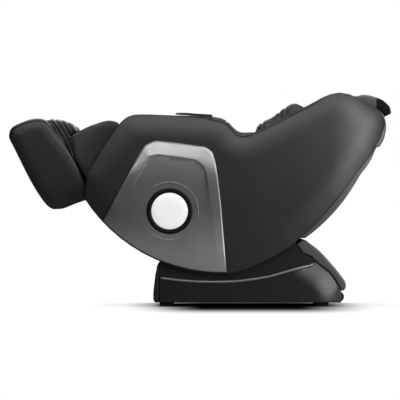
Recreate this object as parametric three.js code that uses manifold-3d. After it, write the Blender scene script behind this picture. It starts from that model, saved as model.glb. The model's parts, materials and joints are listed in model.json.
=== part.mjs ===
// Reclining massage chair: a banana-shaped cradle rocks on rollers over a low base, with a hinged
// calf rest, a sliding foot box and a roller carriage that climbs two rails behind the back pad.
// Millimetres, +Z up. The sitter faces -X, so the feet are at -X and the head is at +X.
// Y = 0 is the plane of symmetry: "left" is -Y and "right" is +Y. The floor is Z = 0.
import * as THREE from 'three';
import { mergeVertices } from 'three/addons/utils/BufferGeometryUtils.js';
import Module from 'manifold-3d';

const wasm = await Module();
wasm.setup();

// ---------- driving dimensions ----------
const GAP = 0.3;                    // between pieces that touch
const SHELL_FACE = 372;             // flat outer face of a side shell
const SHELL_INNER = 354;
const FRAME_FACE = 246;             // inner face of the steel side frames
const FRAME_OUTER = 258;
const PAD_HALF = 239.5;             // seat and back cushions
const LEG_HALF = 238;               // calf rest and foot box

const TILT_CENTRE = [102, 908];     // the cradle rocks about this line
const SHELL_RADIUS = 755;           // bottom edge of the side shells
const RAIL_RADIUS = 700;            // running face of the curved rails
const RAIL_THICK = 10;
const HIP = [129, 469];             // where the seat and back surfaces meet
const SEAT_SLOPE = 24;              // degrees, rising to the knees
const BACK_SLOPE = 38;
const KNEE = [-430, 690];           // calf rest pivot
const CALF_SLOPE = 30.5;            // degrees below horizontal, knee to foot
const LAMP_CENTRE = [-140, 441];
const LAMP_RADIUS = 84;
const LAMP_RING_RADIUS = 106;
const EMBOSSED_RADIUS = 131;
const FIELD = 9;                    // how far a silver panel's field stands off the shell
const SKIRT_INNER = 300;
const SKIRT_OUTER = 330;
const PLATE_LOW = 20;
const PLATE_TOP = 32;
const CRADLE_ROLLER_RADIUS = 18;
const ROLLER_INNER = 262;
const ROLLER_OUTER = 282;
const FRONT_ROLLER_ANGLE = -18;     // degrees from straight down, seen from the tilt centre
const REAR_ROLLER_ANGLE = 14;
const WHEEL_CENTRE = [642, 45];
const WHEEL_RADIUS = 24.4;
const TILT_ANCHOR = [-120, 110];
const TILT_PIN = { radius: 560, angle: 20 };
const LEG_ANCHOR = [-10, 378];
const LEG_PIN = { along: 92, depth: 140 };
const CARRIAGE_PLACE = 390;         // along the back, from the hip
const CARRIAGE_PIVOT_DEPTH = 150;
const MASSAGE_ROLLER_DEPTH = 98;
const MASSAGE_ROLLER_SPREAD = 60;
const MASSAGE_ROLLER_RADIUS = 34;

// ---------- places in the chair's long section ----------
const sin = (degrees) => Math.sin(degrees * Math.PI / 180);
const cos = (degrees) => Math.cos(degrees * Math.PI / 180);
// Along the seat from hip to knee, and down into the cushion.
const onSeat = (along, depth) => [
  HIP[0] - along * cos(SEAT_SLOPE) - depth * sin(SEAT_SLOPE),
  HIP[1] + along * sin(SEAT_SLOPE) - depth * cos(SEAT_SLOPE),
];
// Along the back from hip to head, and in behind its surface.
const onBack = (along, depth) => [
  HIP[0] + along * cos(BACK_SLOPE) + depth * sin(BACK_SLOPE),
  HIP[1] + along * sin(BACK_SLOPE) - depth * cos(BACK_SLOPE),
];
// Along the calf from the knee pivot to the sole, and back towards the heel.
const onLeg = (along, depth) => [
  KNEE[0] - along * cos(CALF_SLOPE) + depth * sin(CALF_SLOPE),
  KNEE[1] - along * sin(CALF_SLOPE) - depth * cos(CALF_SLOPE),
];
// The corner where the seat and back lines meet when both are moved in by the same depth.
const hipCorner = (depth) => {
  const mitre = depth / (1 + cos(SEAT_SLOPE + BACK_SLOPE));
  return [
    HIP[0] + mitre * (sin(BACK_SLOPE) - sin(SEAT_SLOPE)),
    HIP[1] - mitre * (cos(BACK_SLOPE) + cos(SEAT_SLOPE)),
  ];
};
const polar = ([x, z], radius, angle) => [x + radius * sin(angle), z - radius * cos(angle)];
const arc = (centre, radius, from, to, steps) =>
  Array.from({ length: steps + 1 }, (_, i) => polar(centre, radius, from + (to - from) * i / steps));
const smooth = (points, steps) =>
  new THREE.SplineCurve(points.map(([x, z]) => new THREE.Vector2(x, z)))
    .getPoints(steps).map((p) => [p.x, p.y]);
const shift = (a, b) => [b[0] - a[0], b[1] - a[1]];

// Smallest convex outline round a set of points.
function hullOutline(points) {
  const sorted = [...points].sort((a, b) => a[0] - b[0] || a[1] - b[1]);
  const cross = (o, a, b) => (a[0] - o[0]) * (b[1] - o[1]) - (a[1] - o[1]) * (b[0] - o[0]);
  const half = (list) => list.reduce((line, p) => {
    while (line.length > 1 && cross(line.at(-2), line.at(-1), p) <= 0) line.pop();
    return [...line, p];
  }, []);
  return [...half(sorted).slice(0, -1), ...half(sorted.reverse()).slice(0, -1)];
}

// ---------- solids ----------
function toManifold(geometry) {
  const bare = geometry.clone();
  ['normal', 'uv'].forEach((name) => bare.deleteAttribute(name));
  const merged = mergeVertices(bare, 1e-4);
  return new wasm.Manifold(new wasm.Mesh({
    numProp: 3,
    vertProperties: new Float32Array(merged.attributes.position.array),
    triVerts: new Uint32Array(merged.index.array),
  }));
}

function fromManifold(solid) {
  const { vertProperties, triVerts } = solid.getMesh();
  const geometry = new THREE.BufferGeometry();
  geometry.setAttribute('position', new THREE.BufferAttribute(vertProperties, 3));
  geometry.setIndex(new THREE.BufferAttribute(triVerts, 1));
  geometry.computeVertexNormals();
  return geometry;
}

const joined = (...parts) => parts.map(toManifold).reduce((a, b) => a.add(b));
const join = (...parts) => fromManifold(joined(...parts));
const cut = (part, ...tools) =>
  fromManifold(tools.map(toManifold).reduce((a, b) => a.subtract(b), toManifold(part)));

// An outline in the X-Z plane, extruded across the chair, with its long edges rounded.
function slab(points, low, high, round = 0, segments = 2) {
  const shape = new THREE.Shape(points.map(([x, z]) => new THREE.Vector2(x, z)));
  const geometry = new THREE.ExtrudeGeometry(shape, {
    depth: high - low - 2 * round,
    bevelEnabled: round > 0,
    bevelThickness: round,
    bevelSize: round,
    bevelOffset: -round,
    bevelSegments: segments,
  });
  geometry.rotateX(Math.PI / 2);
  return geometry.translate(0, high - round, 0);
}

// A slab whose inner face stays square: only the outer edge is rounded.
function facing(points, low, high, round, segments = 3) {
  const whole = slab(points, low - round, high, round, segments);
  const reach = 3000;
  const inside = new THREE.BoxGeometry(reach, reach, reach).translate(0, low - reach / 2, 0);
  return cut(whole, inside);
}

const box = (x0, x1, y0, y1, z0, z1) =>
  new THREE.BoxGeometry(x1 - x0, y1 - y0, z1 - z0).translate((x0 + x1) / 2, (y0 + y1) / 2, (z0 + z1) / 2);

// A round bar across the chair, and one in the long section from p to q.
const rodAcross = ([x, z], radius, low, high, sides = 20) =>
  new THREE.CylinderGeometry(radius, radius, high - low, sides).translate(x, (low + high) / 2, z);
function aim(geometry, from, to, y = 0) {
  const [dx, dz] = shift(from, to);
  const along = new THREE.Vector3(dx, 0, dz).normalize();
  const across = new THREE.Vector3(0, 1, 0);
  const basis = new THREE.Matrix4().makeBasis(across, along, across.clone().cross(along));
  return geometry.applyMatrix4(basis).translate(from[0], y, from[1]);
}
function rodAlong(from, to, start, end, radius, sides = 20, y = 0) {
  const bar = new THREE.CylinderGeometry(radius, radius, end - start, sides);
  return aim(bar.translate(0, (start + end) / 2, 0), from, to, y);
}

// A closed [radius, height] profile turned about Y.
const turnedRing = (profile, sides) =>
  new THREE.LatheGeometry([...profile, profile[0]].map(([r, y]) => new THREE.Vector2(r, y)), sides);

// Rings of equal count, given as { outline, y }, skinned in order and closed at both ends.
function loft(rings) {
  const count = rings[0].outline.length;
  const positions = rings.flatMap(({ outline, y }) => outline.flatMap(([x, z]) => [x, y, z]));
  const index = [];
  for (let ring = 0; ring < rings.length - 1; ring++) {
    for (let i = 0; i < count; i++) {
      const a = ring * count + i;
      const b = ring * count + (i + 1) % count;
      index.push(a, b, b + count, a, b + count, a + count);
    }
  }
  const cap = (ring, reverse) => {
    const contour = rings[ring].outline.map(([x, z]) => new THREE.Vector2(x, z));
    const clockwise = THREE.ShapeUtils.isClockWise(contour);
    THREE.ShapeUtils.triangulateShape(contour, []).forEach((corners) => {
      const against = THREE.ShapeUtils.isClockWise(corners.map((i) => contour[i])) !== clockwise;
      const face = corners.map((i) => i + ring * count);
      index.push(...(reverse !== against ? face.reverse() : face));
    });
  };
  cap(0, true);
  cap(rings.length - 1, false);
  const geometry = new THREE.BufferGeometry();
  geometry.setAttribute('position', new THREE.Float32BufferAttribute(positions, 3));
  geometry.setIndex(index);
  return outward(geometry);
}

function flipped(geometry) {
  const index = geometry.index.array;
  for (let i = 0; i < index.length; i += 3) {
    [index[i], index[i + 2]] = [index[i + 2], index[i]];
  }
  return geometry;
}

function outward(geometry) {
  const position = geometry.attributes.position;
  const corner = (i) => new THREE.Vector3().fromBufferAttribute(position, geometry.index.getX(i));
  let volume = 0;
  for (let i = 0; i < geometry.index.count; i += 3) {
    volume += corner(i).dot(corner(i + 1).cross(corner(i + 2)));
  }
  return volume < 0 ? flipped(geometry) : geometry;
}

// Seen from above, the side shells and what lies against them bend in towards the head end.
// Each row is a place along X and how far the shell's face has come in by there.
const HEAD_BEND = [[-900, 0], [600, 0], [680, 2.4], [760, 9.4], [820, 17.7], [900, 33]];

// Bends a solid in. share(y) is how much of the shell's own bend a point at that Y takes.
function bent(geometry, share) {
  const solid = toManifold(geometry);
  const stretches = HEAD_BEND.slice(1).flatMap(([end, last], i) => {
    const [start, first] = HEAD_BEND[i];
    const rate = (last - first) / (end - start);
    const stretch = solid.trimByPlane([1, 0, 0], start).trimByPlane([-1, 0, 0], -end);
    return stretch.isEmpty() ? [] : [stretch.warp((point) => {
      point[1] -= Math.sign(point[1]) * share(Math.abs(point[1])) * (first + rate * (point[0] - start));
      point.forEach((value, axis) => { point[axis] = Math.round(value * 1e5) / 1e5; });
    })];
  });
  return fromManifold(stretches.reduce((a, b) => a.add(b)));
}

// ---------- the group and its finishes ----------
function finish(color, roughness, metalness = 0) {
  return new THREE.MeshStandardMaterial({ color, roughness, metalness });
}
const leatherShell = finish(0x2e2e30, 0.45);
const leatherPad = finish(0x3a3a3c, 0.55);
const silver = finish(0x8d9094, 0.35, 0.6);
const glossBlack = finish(0x0c0c0d, 0.15);
const satinGrey = finish(0x3c3d40, 0.35);
const opal = finish(0xf0f2f2, 0.4);
const steel = finish(0x6d7074, 0.4, 0.9);
const paintedSteel = finish(0x1d1f21, 0.6, 0.3);
const blackPlastic = finish(0x151516, 0.5);
const rubber = finish(0x101010, 0.85);

const chair = new THREE.Group();
function add(name, geometry, material) {
  const mesh = new THREE.Mesh(geometry, material);
  mesh.name = name;
  chair.add(mesh);
}
// Geometry is given for the right-hand side (+Y); the left-hand piece is its mirror image.
function addPair(name, geometry, material) {
  add(`${name}_right`, geometry, material);
  const twin = geometry.index ? geometry.clone() : mergeVertices(geometry.clone());
  add(`${name}_left`, flipped(twin.scale(1, -1, 1)), material);
}

// ---------- side shells, silver panels and lamps ----------
const SHELL_TOP = [[531, 946], [419, 887], [301, 827], [243, 802], [201, 789], [166, 799], [145, 820],
  [122, 846], [63, 867], [-115, 882], [-285, 886]];
const SHELL_HEAD = [[853, 842], [851, 869], [829, 902], [777, 931], [713, 969], [649, 987], [584, 974],
  [531, 946]];
const SHELL_REAR = [[154, 155], [285, 202], [432, 290], [589, 442], [727, 623], [810, 731], [853, 842]];
const SHELL_FRONT = [[-285, 886], [-323, 880], [-364, 851], [-421, 773], [-502, 642], [-526, 588],
  [-528, 492]];
const SHELL_ARC = [-56.5, 4];

function sideShell() {
  const outline = [
    ...arc(TILT_CENTRE, SHELL_RADIUS, ...SHELL_ARC, 13).slice(0, -1),
    ...smooth(SHELL_REAR, 9).slice(0, -1),
    ...smooth(SHELL_HEAD, 11).slice(0, -1),
    ...smooth(SHELL_TOP, 17).slice(0, -1),
    ...smooth(SHELL_FRONT, 9).slice(0, -1),
  ];
  return bent(facing(outline, SHELL_INNER, SHELL_FACE, 14, 2), () => 1);
}

function panelRing(left, top, corner, right, bottom, y) {
  const outline = [
    ...smooth(left, 9).slice(0, -1),
    ...smooth(top, 4).slice(0, -1),
    ...smooth(corner, 4).slice(0, -1),
    ...smooth(right, 5).slice(0, -1),
    ...arc(TILT_CENTRE, ...bottom, 12).slice(0, -1),
  ];
  return { outline, y };
}

function sidePanel() {
  const outerEdge = [
    [[-444, 397], [-383, 511], [-329, 612], [-282, 700], [-248, 747], [-201, 764]],
    [[-201, 764], [-92, 753], [22, 736]],
    [[22, 736], [55, 713], [72, 660]],
    [[72, 660], [86, 558], [99, 437], [121, 160]],
    [748, 1.5, -46.9],
  ];
  const fieldEdge = [
    [[-397, 390], [-316, 545], [-239, 685], [-228, 693], [-195, 699]],
    [[-195, 699], [-110, 690], [-26, 676]],
    [[-26, 676], [15, 646], [29, 605]],
    [[29, 605], [42, 511], [59, 437], [79, 201]],
    [712, -1.8, -44],
  ];
  const lip = 4;
  const inset = (outline) => outline.map(([x, z]) => {
    const [dx, dz] = shift([x, z], LAMP_CENTRE);
    const reach = Math.hypot(dx, dz);
    return [x + dx / reach * lip, z + dz / reach * lip];
  });
  const crest = panelRing(...fieldEdge, SHELL_FACE + 12);
  const plate = loft([
    panelRing(...outerEdge, SHELL_FACE + GAP),
    panelRing(...outerEdge, SHELL_FACE + 2.5),
    crest,
    { outline: inset(crest.outline), y: SHELL_FACE + FIELD },
  ]);
  const embossed = turnedRing([[EMBOSSED_RADIUS - 4, FIELD - 1], [EMBOSSED_RADIUS + 4, FIELD - 1],
    [EMBOSSED_RADIUS + 1.5, FIELD + 1.4], [EMBOSSED_RADIUS - 1.5, FIELD + 1.4]], 28);
  return join(plate, embossed.translate(LAMP_CENTRE[0], SHELL_FACE, LAMP_CENTRE[1]));
}

function lampRing() {
  const base = FIELD + GAP;
  return turnedRing([[LAMP_RADIUS + 0.5, base], [LAMP_RING_RADIUS, base], [LAMP_RING_RADIUS, base + 4],
    [LAMP_RING_RADIUS - 4, base + 7.5], [LAMP_RADIUS + 0.5, base + 7]], 28)
    .translate(LAMP_CENTRE[0], SHELL_FACE, LAMP_CENTRE[1]);
}

function lampDisc() {
  const base = FIELD + GAP;
  const profile = [[0, base], [LAMP_RADIUS, base], [LAMP_RADIUS, base + 5], [LAMP_RADIUS - 3, base + 6.5],
    [0, base + 8.7]];
  return new THREE.LatheGeometry(profile.map(([r, y]) => new THREE.Vector2(r, y)), 28)
    .translate(LAMP_CENTRE[0], SHELL_FACE, LAMP_CENTRE[1]);
}

addPair('side_shell', sideShell(), leatherShell);
addPair('side_panel', sidePanel(), silver);
addPair('lamp_ring', lampRing(), glossBlack);
addPair('lamp_disc', lampDisc(), opal);

// ---------- arms, shoulder wings and the shelf on each arm ----------
function armPad() {
  const top = smooth([[-318, 862], [-285, 889], [-138, 886], [-23, 884], [55, 880], [92, 874], [115, 865],
    [138, 848], [161, 823], [182, 809], [214, 804], [246, 808]], 16);
  const outline = [onSeat(510, 20), [-338, 700], [-334, 800], ...top, [262, 700], onBack(140, 20),
    hipCorner(20)];
  const body = slab(outline, PAD_HALF + 2.5, SHELL_INNER - GAP, 6, 2);
  const floor = 790;
  const trough = new THREE.Shape();
  trough.absarc(-262, 0, 34, Math.PI / 2, Math.PI * 3 / 2).absarc(62, 0, 34, -Math.PI / 2, Math.PI / 2);
  const hollow = new THREE.ExtrudeGeometry(trough, { depth: 200, bevelEnabled: false, curveSegments: 6 })
    .translate(0, 304, floor);
  return cut(body, hollow);
}

function armShelf() {
  const outline = [[-115, 885.5], [55, 874], [60, 878], [52, 886], [-90, 894], [-108, 893]];
  return slab(outline, SHELL_INNER + GAP, SHELL_FACE - 3);
}

function shoulderWing() {
  const top = smooth([[262, 836], [288, 851], [331, 872], [382, 913], [409, 930], [436, 940], [462, 934],
    [500, 936], [560, 952], [640, 972], [706, 958]], 18);
  const outline = [onBack(150, 20), [262.6, 700], ...top, onBack(715, 20)];
  const inner = PAD_HALF + 2.5;
  const outer = SHELL_INNER - GAP;
  return bent(slab(outline, inner, outer, 8, 2), (y) => (y - inner) / (outer - inner));
}

addPair('arm_pad', armPad(), leatherPad);
addPair('arm_shelf', armShelf(), glossBlack);
addPair('shoulder_wing', shoulderWing(), leatherPad);

// ---------- steel side frames with the curved rails they rock on ----------
function sideFrame() {
  const arcEnds = [-45, 20];
  const underPads = 22;
  const plateOutline = [
    ...arc(TILT_CENTRE, RAIL_RADIUS - 2, ...arcEnds, 14),
    onBack(420, 180), onBack(640, 180), onBack(650, 150), onBack(650, 60), onBack(620, underPads),
    hipCorner(underPads), onSeat(540, underPads),
    ...arc(KNEE, 26, 155, 260, 6),
    [-458, 640],
  ];
  const plate = slab(plateOutline, FRAME_FACE, FRAME_OUTER);
  const rail = slab([
    ...arc(TILT_CENTRE, RAIL_RADIUS, ...arcEnds, 16),
    ...arc(TILT_CENTRE, RAIL_RADIUS - RAIL_THICK, arcEnds[1], arcEnds[0], 16),
  ], FRAME_FACE + 4, ROLLER_OUTER);
  const bush = rodAcross(KNEE, 7, FRAME_FACE - 5, FRAME_OUTER + 5, 24);
  return fromManifold(joined(plate, rail).subtract(toManifold(bush)));
}
addPair('side_frame', sideFrame(), paintedSteel);

// ---------- seat ----------
const tiltPin = polar(TILT_CENTRE, TILT_PIN.radius, TILT_PIN.angle);
const legPin = onLeg(LEG_PIN.along, LEG_PIN.depth);

function seatPan() {
  const board = slab([onSeat(470, 90.4), onSeat(-18, 90.4), onSeat(-30, 102), onSeat(470, 102)],
    -FRAME_FACE + GAP, FRAME_FACE - GAP);
  const lug = (outline, low, high) => [slab(outline, low, high), slab(outline, -high, -low)];
  const rearLug = hullOutline([onSeat(20, 115), onSeat(-27, 93), ...arc(tiltPin, 14, 0, 330, 11)]);
  const frontLug = hullOutline([onSeat(150, 100), onSeat(60, 100), ...arc(LEG_ANCHOR, 15, 0, 330, 11)]);
  return join(board, ...lug(rearLug, 16, 22), ...lug(frontLug, 16, 22),
    rodAcross(tiltPin, 8, -22, 22), rodAcross(LEG_ANCHOR, 7, -22, 22));
}

function seatPad() {
  const outline = [
    ...smooth([onSeat(561, 6), [-391, 672], [-384, 645], [-356, 612], onSeat(470, 90)], 8).slice(0, -1),
    onSeat(470, 90), onSeat(-10, 90), onSeat(-8, 14), onSeat(16, 0), onSeat(545, 0),
  ];
  return slab(outline, -PAD_HALF, PAD_HALF, 10, 2);
}

add('seat_pan', seatPan(), paintedSteel);
add('seat_pad', seatPad(), leatherPad);

// ---------- back ----------
const BACK_PAD_THICK = 45;
function backPad() {
  const outline = [onBack(6, 6), onBack(20, 0), onBack(700, 0), onBack(735, 14), onBack(735, BACK_PAD_THICK),
    onBack(36, BACK_PAD_THICK), onBack(6, 20)];
  return slab(outline, -PAD_HALF, PAD_HALF, 10, 3);
}

function headPillow() {
  const outline = [onBack(560, -4), onBack(700, -4), onBack(742, 2), [757, 938], [790, 936], [826, 921],
    [858, 880], [888, 894], [874, 914], [851, 935], [816, 954], [787, 965], [745, 972], [707, 972],
    [660, 950], [610, 914], [572, 860]];
  return slab(outline, -165, 165, 6, 2);
}

// A cover that fills the space between the two side shells.
function betweenShells(outline, round) {
  const half = SHELL_INNER - 1;
  return bent(slab(outline, -half, half, round, 2), (y) => y / half);
}

function backCover() {
  const centre = [1, 988];
  const outer = arc(centre, 828, 35.7, 63.5, 10);
  const inner = arc(centre, 812, 63.5, 36.2, 10);
  return betweenShells([...outer, [784, 685], [811, 733], [796, 738], [770, 693], ...inner], 5);
}

function headCap() {
  const outside = [[757, 934], [796, 925], [833, 901], [851, 875], [859, 826], [847, 770], [828, 738]];
  const inside = [[812, 735.6], [790, 742], [762, 790], [776, 850], [782, 890]];
  return betweenShells([...smooth(outside, 12), ...inside], 8);
}

add('back_pad', backPad(), leatherPad);
add('head_pillow', headPillow(), leatherPad);
add('back_cover', backCover(), satinGrey);
add('head_cap', headCap(), leatherShell);

// ---------- guide rails, carriage and rollers behind the back pad ----------
const RAIL_INNER = 118;
const RAIL_OUTER = 146;
function backBox(start, end, near, far, low, high) {
  return slab([onBack(start, near), onBack(end, near), onBack(end, far), onBack(start, far)], low, high);
}

function guideRail() {
  const channel = backBox(150, 640, 128, 172, RAIL_INNER, RAIL_OUTER);
  const slot = backBox(140, 650, 136, 164, RAIL_INNER - 5, RAIL_OUTER - 6);
  const outriggers = [190, 600].map((place) =>
    backBox(place - 18, place + 18, 134, 166, RAIL_OUTER - 3, FRAME_FACE - GAP));
  return fromManifold(toManifold(channel).subtract(toManifold(slot)).add(joined(...outriggers)));
}

function carriage() {
  const start = CARRIAGE_PLACE - 60;
  const end = CARRIAGE_PLACE + 60;
  const cheeks = [[104, 112], [-112, -104]].map(([low, high]) => backBox(start, end, 132, 205, low, high));
  const backPlate = backBox(start, end, 192, 205, -106, 106);
  const gearCase = backBox(start + 12, end - 12, 168, 194, -62, 62);
  const pin = rodAcross(onBack(CARRIAGE_PLACE, CARRIAGE_PIVOT_DEPTH), 6, -106, 106, 16);
  const guideWheels = [-45, 45].flatMap((place) => [[110, 137], [-137, -110]].map(([low, high]) =>
    rodAcross(onBack(CARRIAGE_PLACE + place, CARRIAGE_PIVOT_DEPTH), 12, low, high, 20)));
  return join(...cheeks, backPlate, gearCase, pin, ...guideWheels);
}

function massageArm() {
  const pivot = onBack(CARRIAGE_PLACE, CARRIAGE_PIVOT_DEPTH);
  const place = (along, depth) => onBack(CARRIAGE_PLACE + along, depth);
  const hubs = [-1, 1].map((side) => place(side * MASSAGE_ROLLER_SPREAD, MASSAGE_ROLLER_DEPTH));
  const cheek = [...hubs.flatMap((hub, i) => arc(hub, 13, 142 - 68 * i, 322 - 68 * i, 6)),
    ...arc(pivot, 15, -116, 60, 6)];
  const plates = [[70, 77], [-77, -70]].map(([low, high]) => slab(hullOutline(cheek), low, high));
  const tie = rodAcross(place(0, 122), 8, -71, 71, 16);
  const bores = [...hubs.map((hub) => rodAcross(hub, 5.6, -90, 90, 16)), rodAcross(pivot, 6.5, -90, 90, 16)];
  const body = joined(...plates, tie);
  return fromManifold(bores.map(toManifold).reduce((a, b) => a.subtract(b), body));
}

function massageRollers(side) {
  const hub = onBack(CARRIAGE_PLACE + side * MASSAGE_ROLLER_SPREAD, MASSAGE_ROLLER_DEPTH);
  const r = MASSAGE_ROLLER_RADIUS;
  const roller = (start) => turnedRing([[4, start], [r - 7, start], [r, start + 6], [r, start + 16],
    [r - 7, start + 22], [4, start + 22]], 14).translate(hub[0], 0, hub[1]);
  return join(rodAcross(hub, 5, -103, 103, 16), roller(80), roller(-102));
}

addPair('guide_rail', guideRail(), steel);
add('massage_carriage', carriage(), paintedSteel);
add('massage_arm', massageArm(), steel);
add('massage_rollers_upper', massageRollers(1), rubber);
add('massage_rollers_lower', massageRollers(-1), rubber);

// ---------- calf rest ----------
const SOLE = 355;                   // along the calf, from the knee pivot
const CALF_END = 130;
const FRAME_NEAR = 62;              // depth of the calf rest's housing
const FRAME_FAR = 107;
const SLIDE_ROD = { y: 150, depth: 85, radius: 7, start: 22 };
const ORIGIN_TO_SOLE = [onLeg(0, SLIDE_ROD.depth), onLeg(SOLE, SLIDE_ROD.depth)];

function legBox(start, end, near, far, low, high, round = 0) {
  return slab([onLeg(start, near), onLeg(end, near), onLeg(end, far), onLeg(start, far)], low, high, round);
}

function calfFrame() {
  const housing = legBox(36, CALF_END, FRAME_NEAR, FRAME_FAR, -LEG_HALF, LEG_HALF, 4);
  const cheekOutline = arc(KNEE, 24, 0, 345, 15);
  const web = [onLeg(10, 20), onLeg(36, FRAME_NEAR + 2), onLeg(36, FRAME_FAR - 6), onLeg(57, FRAME_FAR - 4),
    onLeg(57, -6), onLeg(22, -6)];
  const cheeks = [[206, LEG_HALF], [-LEG_HALF, -206]].flatMap(([low, high]) =>
    [slab(cheekOutline, low, high), slab(web, low, high)]);
  const pins = [[LEG_HALF - 4, FRAME_OUTER + 1], [-FRAME_OUTER - 1, -LEG_HALF + 4]].map(([low, high]) =>
    rodAcross(KNEE, 6.4, low, high, 24));
  const lugOutline = [onLeg(70, FRAME_FAR - 4), onLeg(114, FRAME_FAR - 4),
    onLeg(LEG_PIN.along + 12, LEG_PIN.depth + 10), onLeg(LEG_PIN.along - 12, LEG_PIN.depth + 10)];
  const lugs = [[16, 22], [-22, -16]].map(([low, high]) => slab(lugOutline, low, high));
  const crankPin = rodAcross(legPin, 5, -22, 22, 16);
  const bores = [SLIDE_ROD.y, -SLIDE_ROD.y].map((y) =>
    rodAlong(...ORIGIN_TO_SOLE, 0, 200, SLIDE_ROD.radius + 1.2, 20, y));
  const body = joined(housing, ...cheeks, ...pins, ...lugs, crankPin);
  return fromManifold(bores.map(toManifold).reduce((a, b) => a.subtract(b), body));
}

function calfPad() {
  const under = FRAME_NEAR - GAP;
  const floor = slab([onLeg(62, 17), onLeg(CALF_END - 4, 17), onLeg(CALF_END, 24), onLeg(CALF_END, under),
    onLeg(42, under), onLeg(42, 40), onLeg(48, 22)], -188, 188, 5);
  const divider = slab([onLeg(64, 25), onLeg(66, -70), onLeg(78, -112), onLeg(96, -122), onLeg(120, -112),
    onLeg(CALF_END - 2, -70), onLeg(CALF_END - 2, 25)], -20, 20, 6);
  return join(floor, divider);
}

function calfSidePad() {
  const outline = [
    ...smooth([[-415, 737], [-398, 765], [-390, 800], [-374, 846], [-394, 858], [-421, 864], [-458, 856],
      [-509, 838], [-561, 814], [-593, 793], [-600, 776], [-590, 716], [-566, 655],
      onLeg(CALF_END + 6, FRAME_NEAR - 2)], 20),
    onLeg(60, FRAME_NEAR - 2), onLeg(60, -28), onLeg(0, -28),
  ];
  return slab(outline, 190, LEG_HALF, 7, 2);
}

add('calf_frame', calfFrame(), blackPlastic);
add('calf_pad', calfPad(), leatherPad);
addPair('calf_side_pad', calfSidePad(), leatherPad);

// ---------- foot box, which slides along the calf ----------
function footSide() {
  const outline = [
    ...smooth([[-888, 782], [-880, 819], [-865, 833], [-828, 851], [-782, 867], [-754, 870], [-727, 868],
      [-704, 853], [-673, 811], [-644, 775], [-614, 738], [-565, 652], [-541, 604], [-519, 548]], 22),
    [-512, 516], ...smooth([[-527, 500], [-621, 462], [-644, 452], [-681, 449], [-708, 465], [-730, 492]], 8),
  ];
  return facing(outline, 206, 240, 10, 2);
}

function footShell() {
  const half = 206 - GAP;
  const sole = slab([onLeg(SOLE, -150), onLeg(SOLE - 30, -150), onLeg(SOLE - 40, 73), onLeg(SOLE - 24, 78),
    onLeg(SOLE, 46)], -half, half, 3);
  const heel = slab([onLeg(150, 74), onLeg(250, 73), onLeg(SOLE - 28, 60), onLeg(SOLE - 12, 78), onLeg(250, 97),
    onLeg(156, 104), onLeg(150, 102)], -half, half, 3);
  const divider = slab([onLeg(170, 76), onLeg(172, -80), onLeg(200, -118), onLeg(SOLE - 20, -140),
    onLeg(SOLE - 24, 66)], -20, 20, 6);
  const rods = [SLIDE_ROD.y, -SLIDE_ROD.y].map((y) =>
    rodAlong(...ORIGIN_TO_SOLE, SLIDE_ROD.start, 170, SLIDE_ROD.radius, 16, y));
  return join(sole, heel, divider, ...rods);
}

// An air cushion over the instep, with a cell that runs down inside the foot box wall.
function footCushion() {
  const top = [...smooth([[-560, 812], [-582, 835], [-612, 854], [-635, 860], [-667, 863], [-718, 865],
    [-716, 842]], 14), [-672, 802], [-612, 786]];
  const cell = [[-602, 800], ...smooth([[-596, 750], [-588, 705], [-578, 676], [-581, 661], [-597, 658],
    [-620, 688], [-650, 742]], 10), [-680, 800]];
  return join(slab(top, 26, 186, 8, 2), slab(cell, 150, 186, 4, 2));
}

const FOOT_ROLLER = { along: 296, depth: -60, radius: 22 };
const footHub = onLeg(FOOT_ROLLER.along, FOOT_ROLLER.depth);
function footRoller() {
  const knob = (start) => turnedRing([[4, start], [12, start], [FOOT_ROLLER.radius, start + 13],
    [12, start + 26], [4, start + 26]], 10).translate(footHub[0], 0, footHub[1]);
  return join(rodAcross(footHub, 6, -197, 197, 14), ...[60, 110, -86, -136].map(knob));
}

const soleBore = (geometry) => cut(geometry, rodAcross(footHub, 6.6, -30, 30, 20));
addPair('foot_side', footSide(), leatherShell);
add('foot_shell', soleBore(footShell()), blackPlastic);
addPair('foot_cushion', footCushion(), leatherPad);
add('foot_roller', footRoller(), rubber);

// ---------- linear actuators ----------
// Each rod ends in an oversize eye round a pin: the linkage is open there.
function actuator(anchor, pin, size) {
  const sides = 14;
  const length = Math.hypot(...shift(anchor, pin));
  const tube = rodAlong(anchor, pin, 34, size.tube, size.outer, sides);
  const neck = rodAlong(anchor, pin, 8, 38, 10, sides);
  const boss = rodAcross(anchor, 14, -12, 12, sides);
  const gearCase = aim(new THREE.BoxGeometry(30, 60, size.outer * 2).translate(0, 62, 0), anchor, pin);
  const can = new THREE.CylinderGeometry(19, 19, 96, sides).translate(0, 98, -size.outer - 17);
  const motor = aim(can, anchor, pin);
  const bore = rodAcross(anchor, size.pivot + 0.5, -20, 20, sides);
  const hollow = rodAlong(anchor, pin, 92, size.tube + 5, size.bore, sides);
  const body = cut(join(tube, neck, boss, gearCase, motor), bore, hollow);
  const eye = rodAcross(pin, size.eye + 7, -9, 9, 24);
  const eyeHole = rodAcross(pin, size.eye, -12, 12, 24);
  const rod = rodAlong(anchor, pin, size.inner, length - size.eye - 4, size.rod, sides);
  return { tube: body, rod: cut(join(rod, eye), eyeHole) };
}

const tiltActuator = actuator(TILT_ANCHOR, tiltPin,
  { tube: 350, bore: 15, outer: 20, inner: 100, rod: 12, eye: 18, pivot: 6 });
const legActuator = actuator(LEG_ANCHOR, legPin,
  { tube: 270, bore: 12.5, outer: 17, inner: 160, rod: 10, eye: 18, pivot: 7 });
add('tilt_actuator_tube', tiltActuator.tube, steel);
add('tilt_actuator_rod', tiltActuator.rod, steel);
add('leg_actuator_tube', legActuator.tube, steel);
add('leg_actuator_rod', legActuator.rod, steel);

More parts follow.
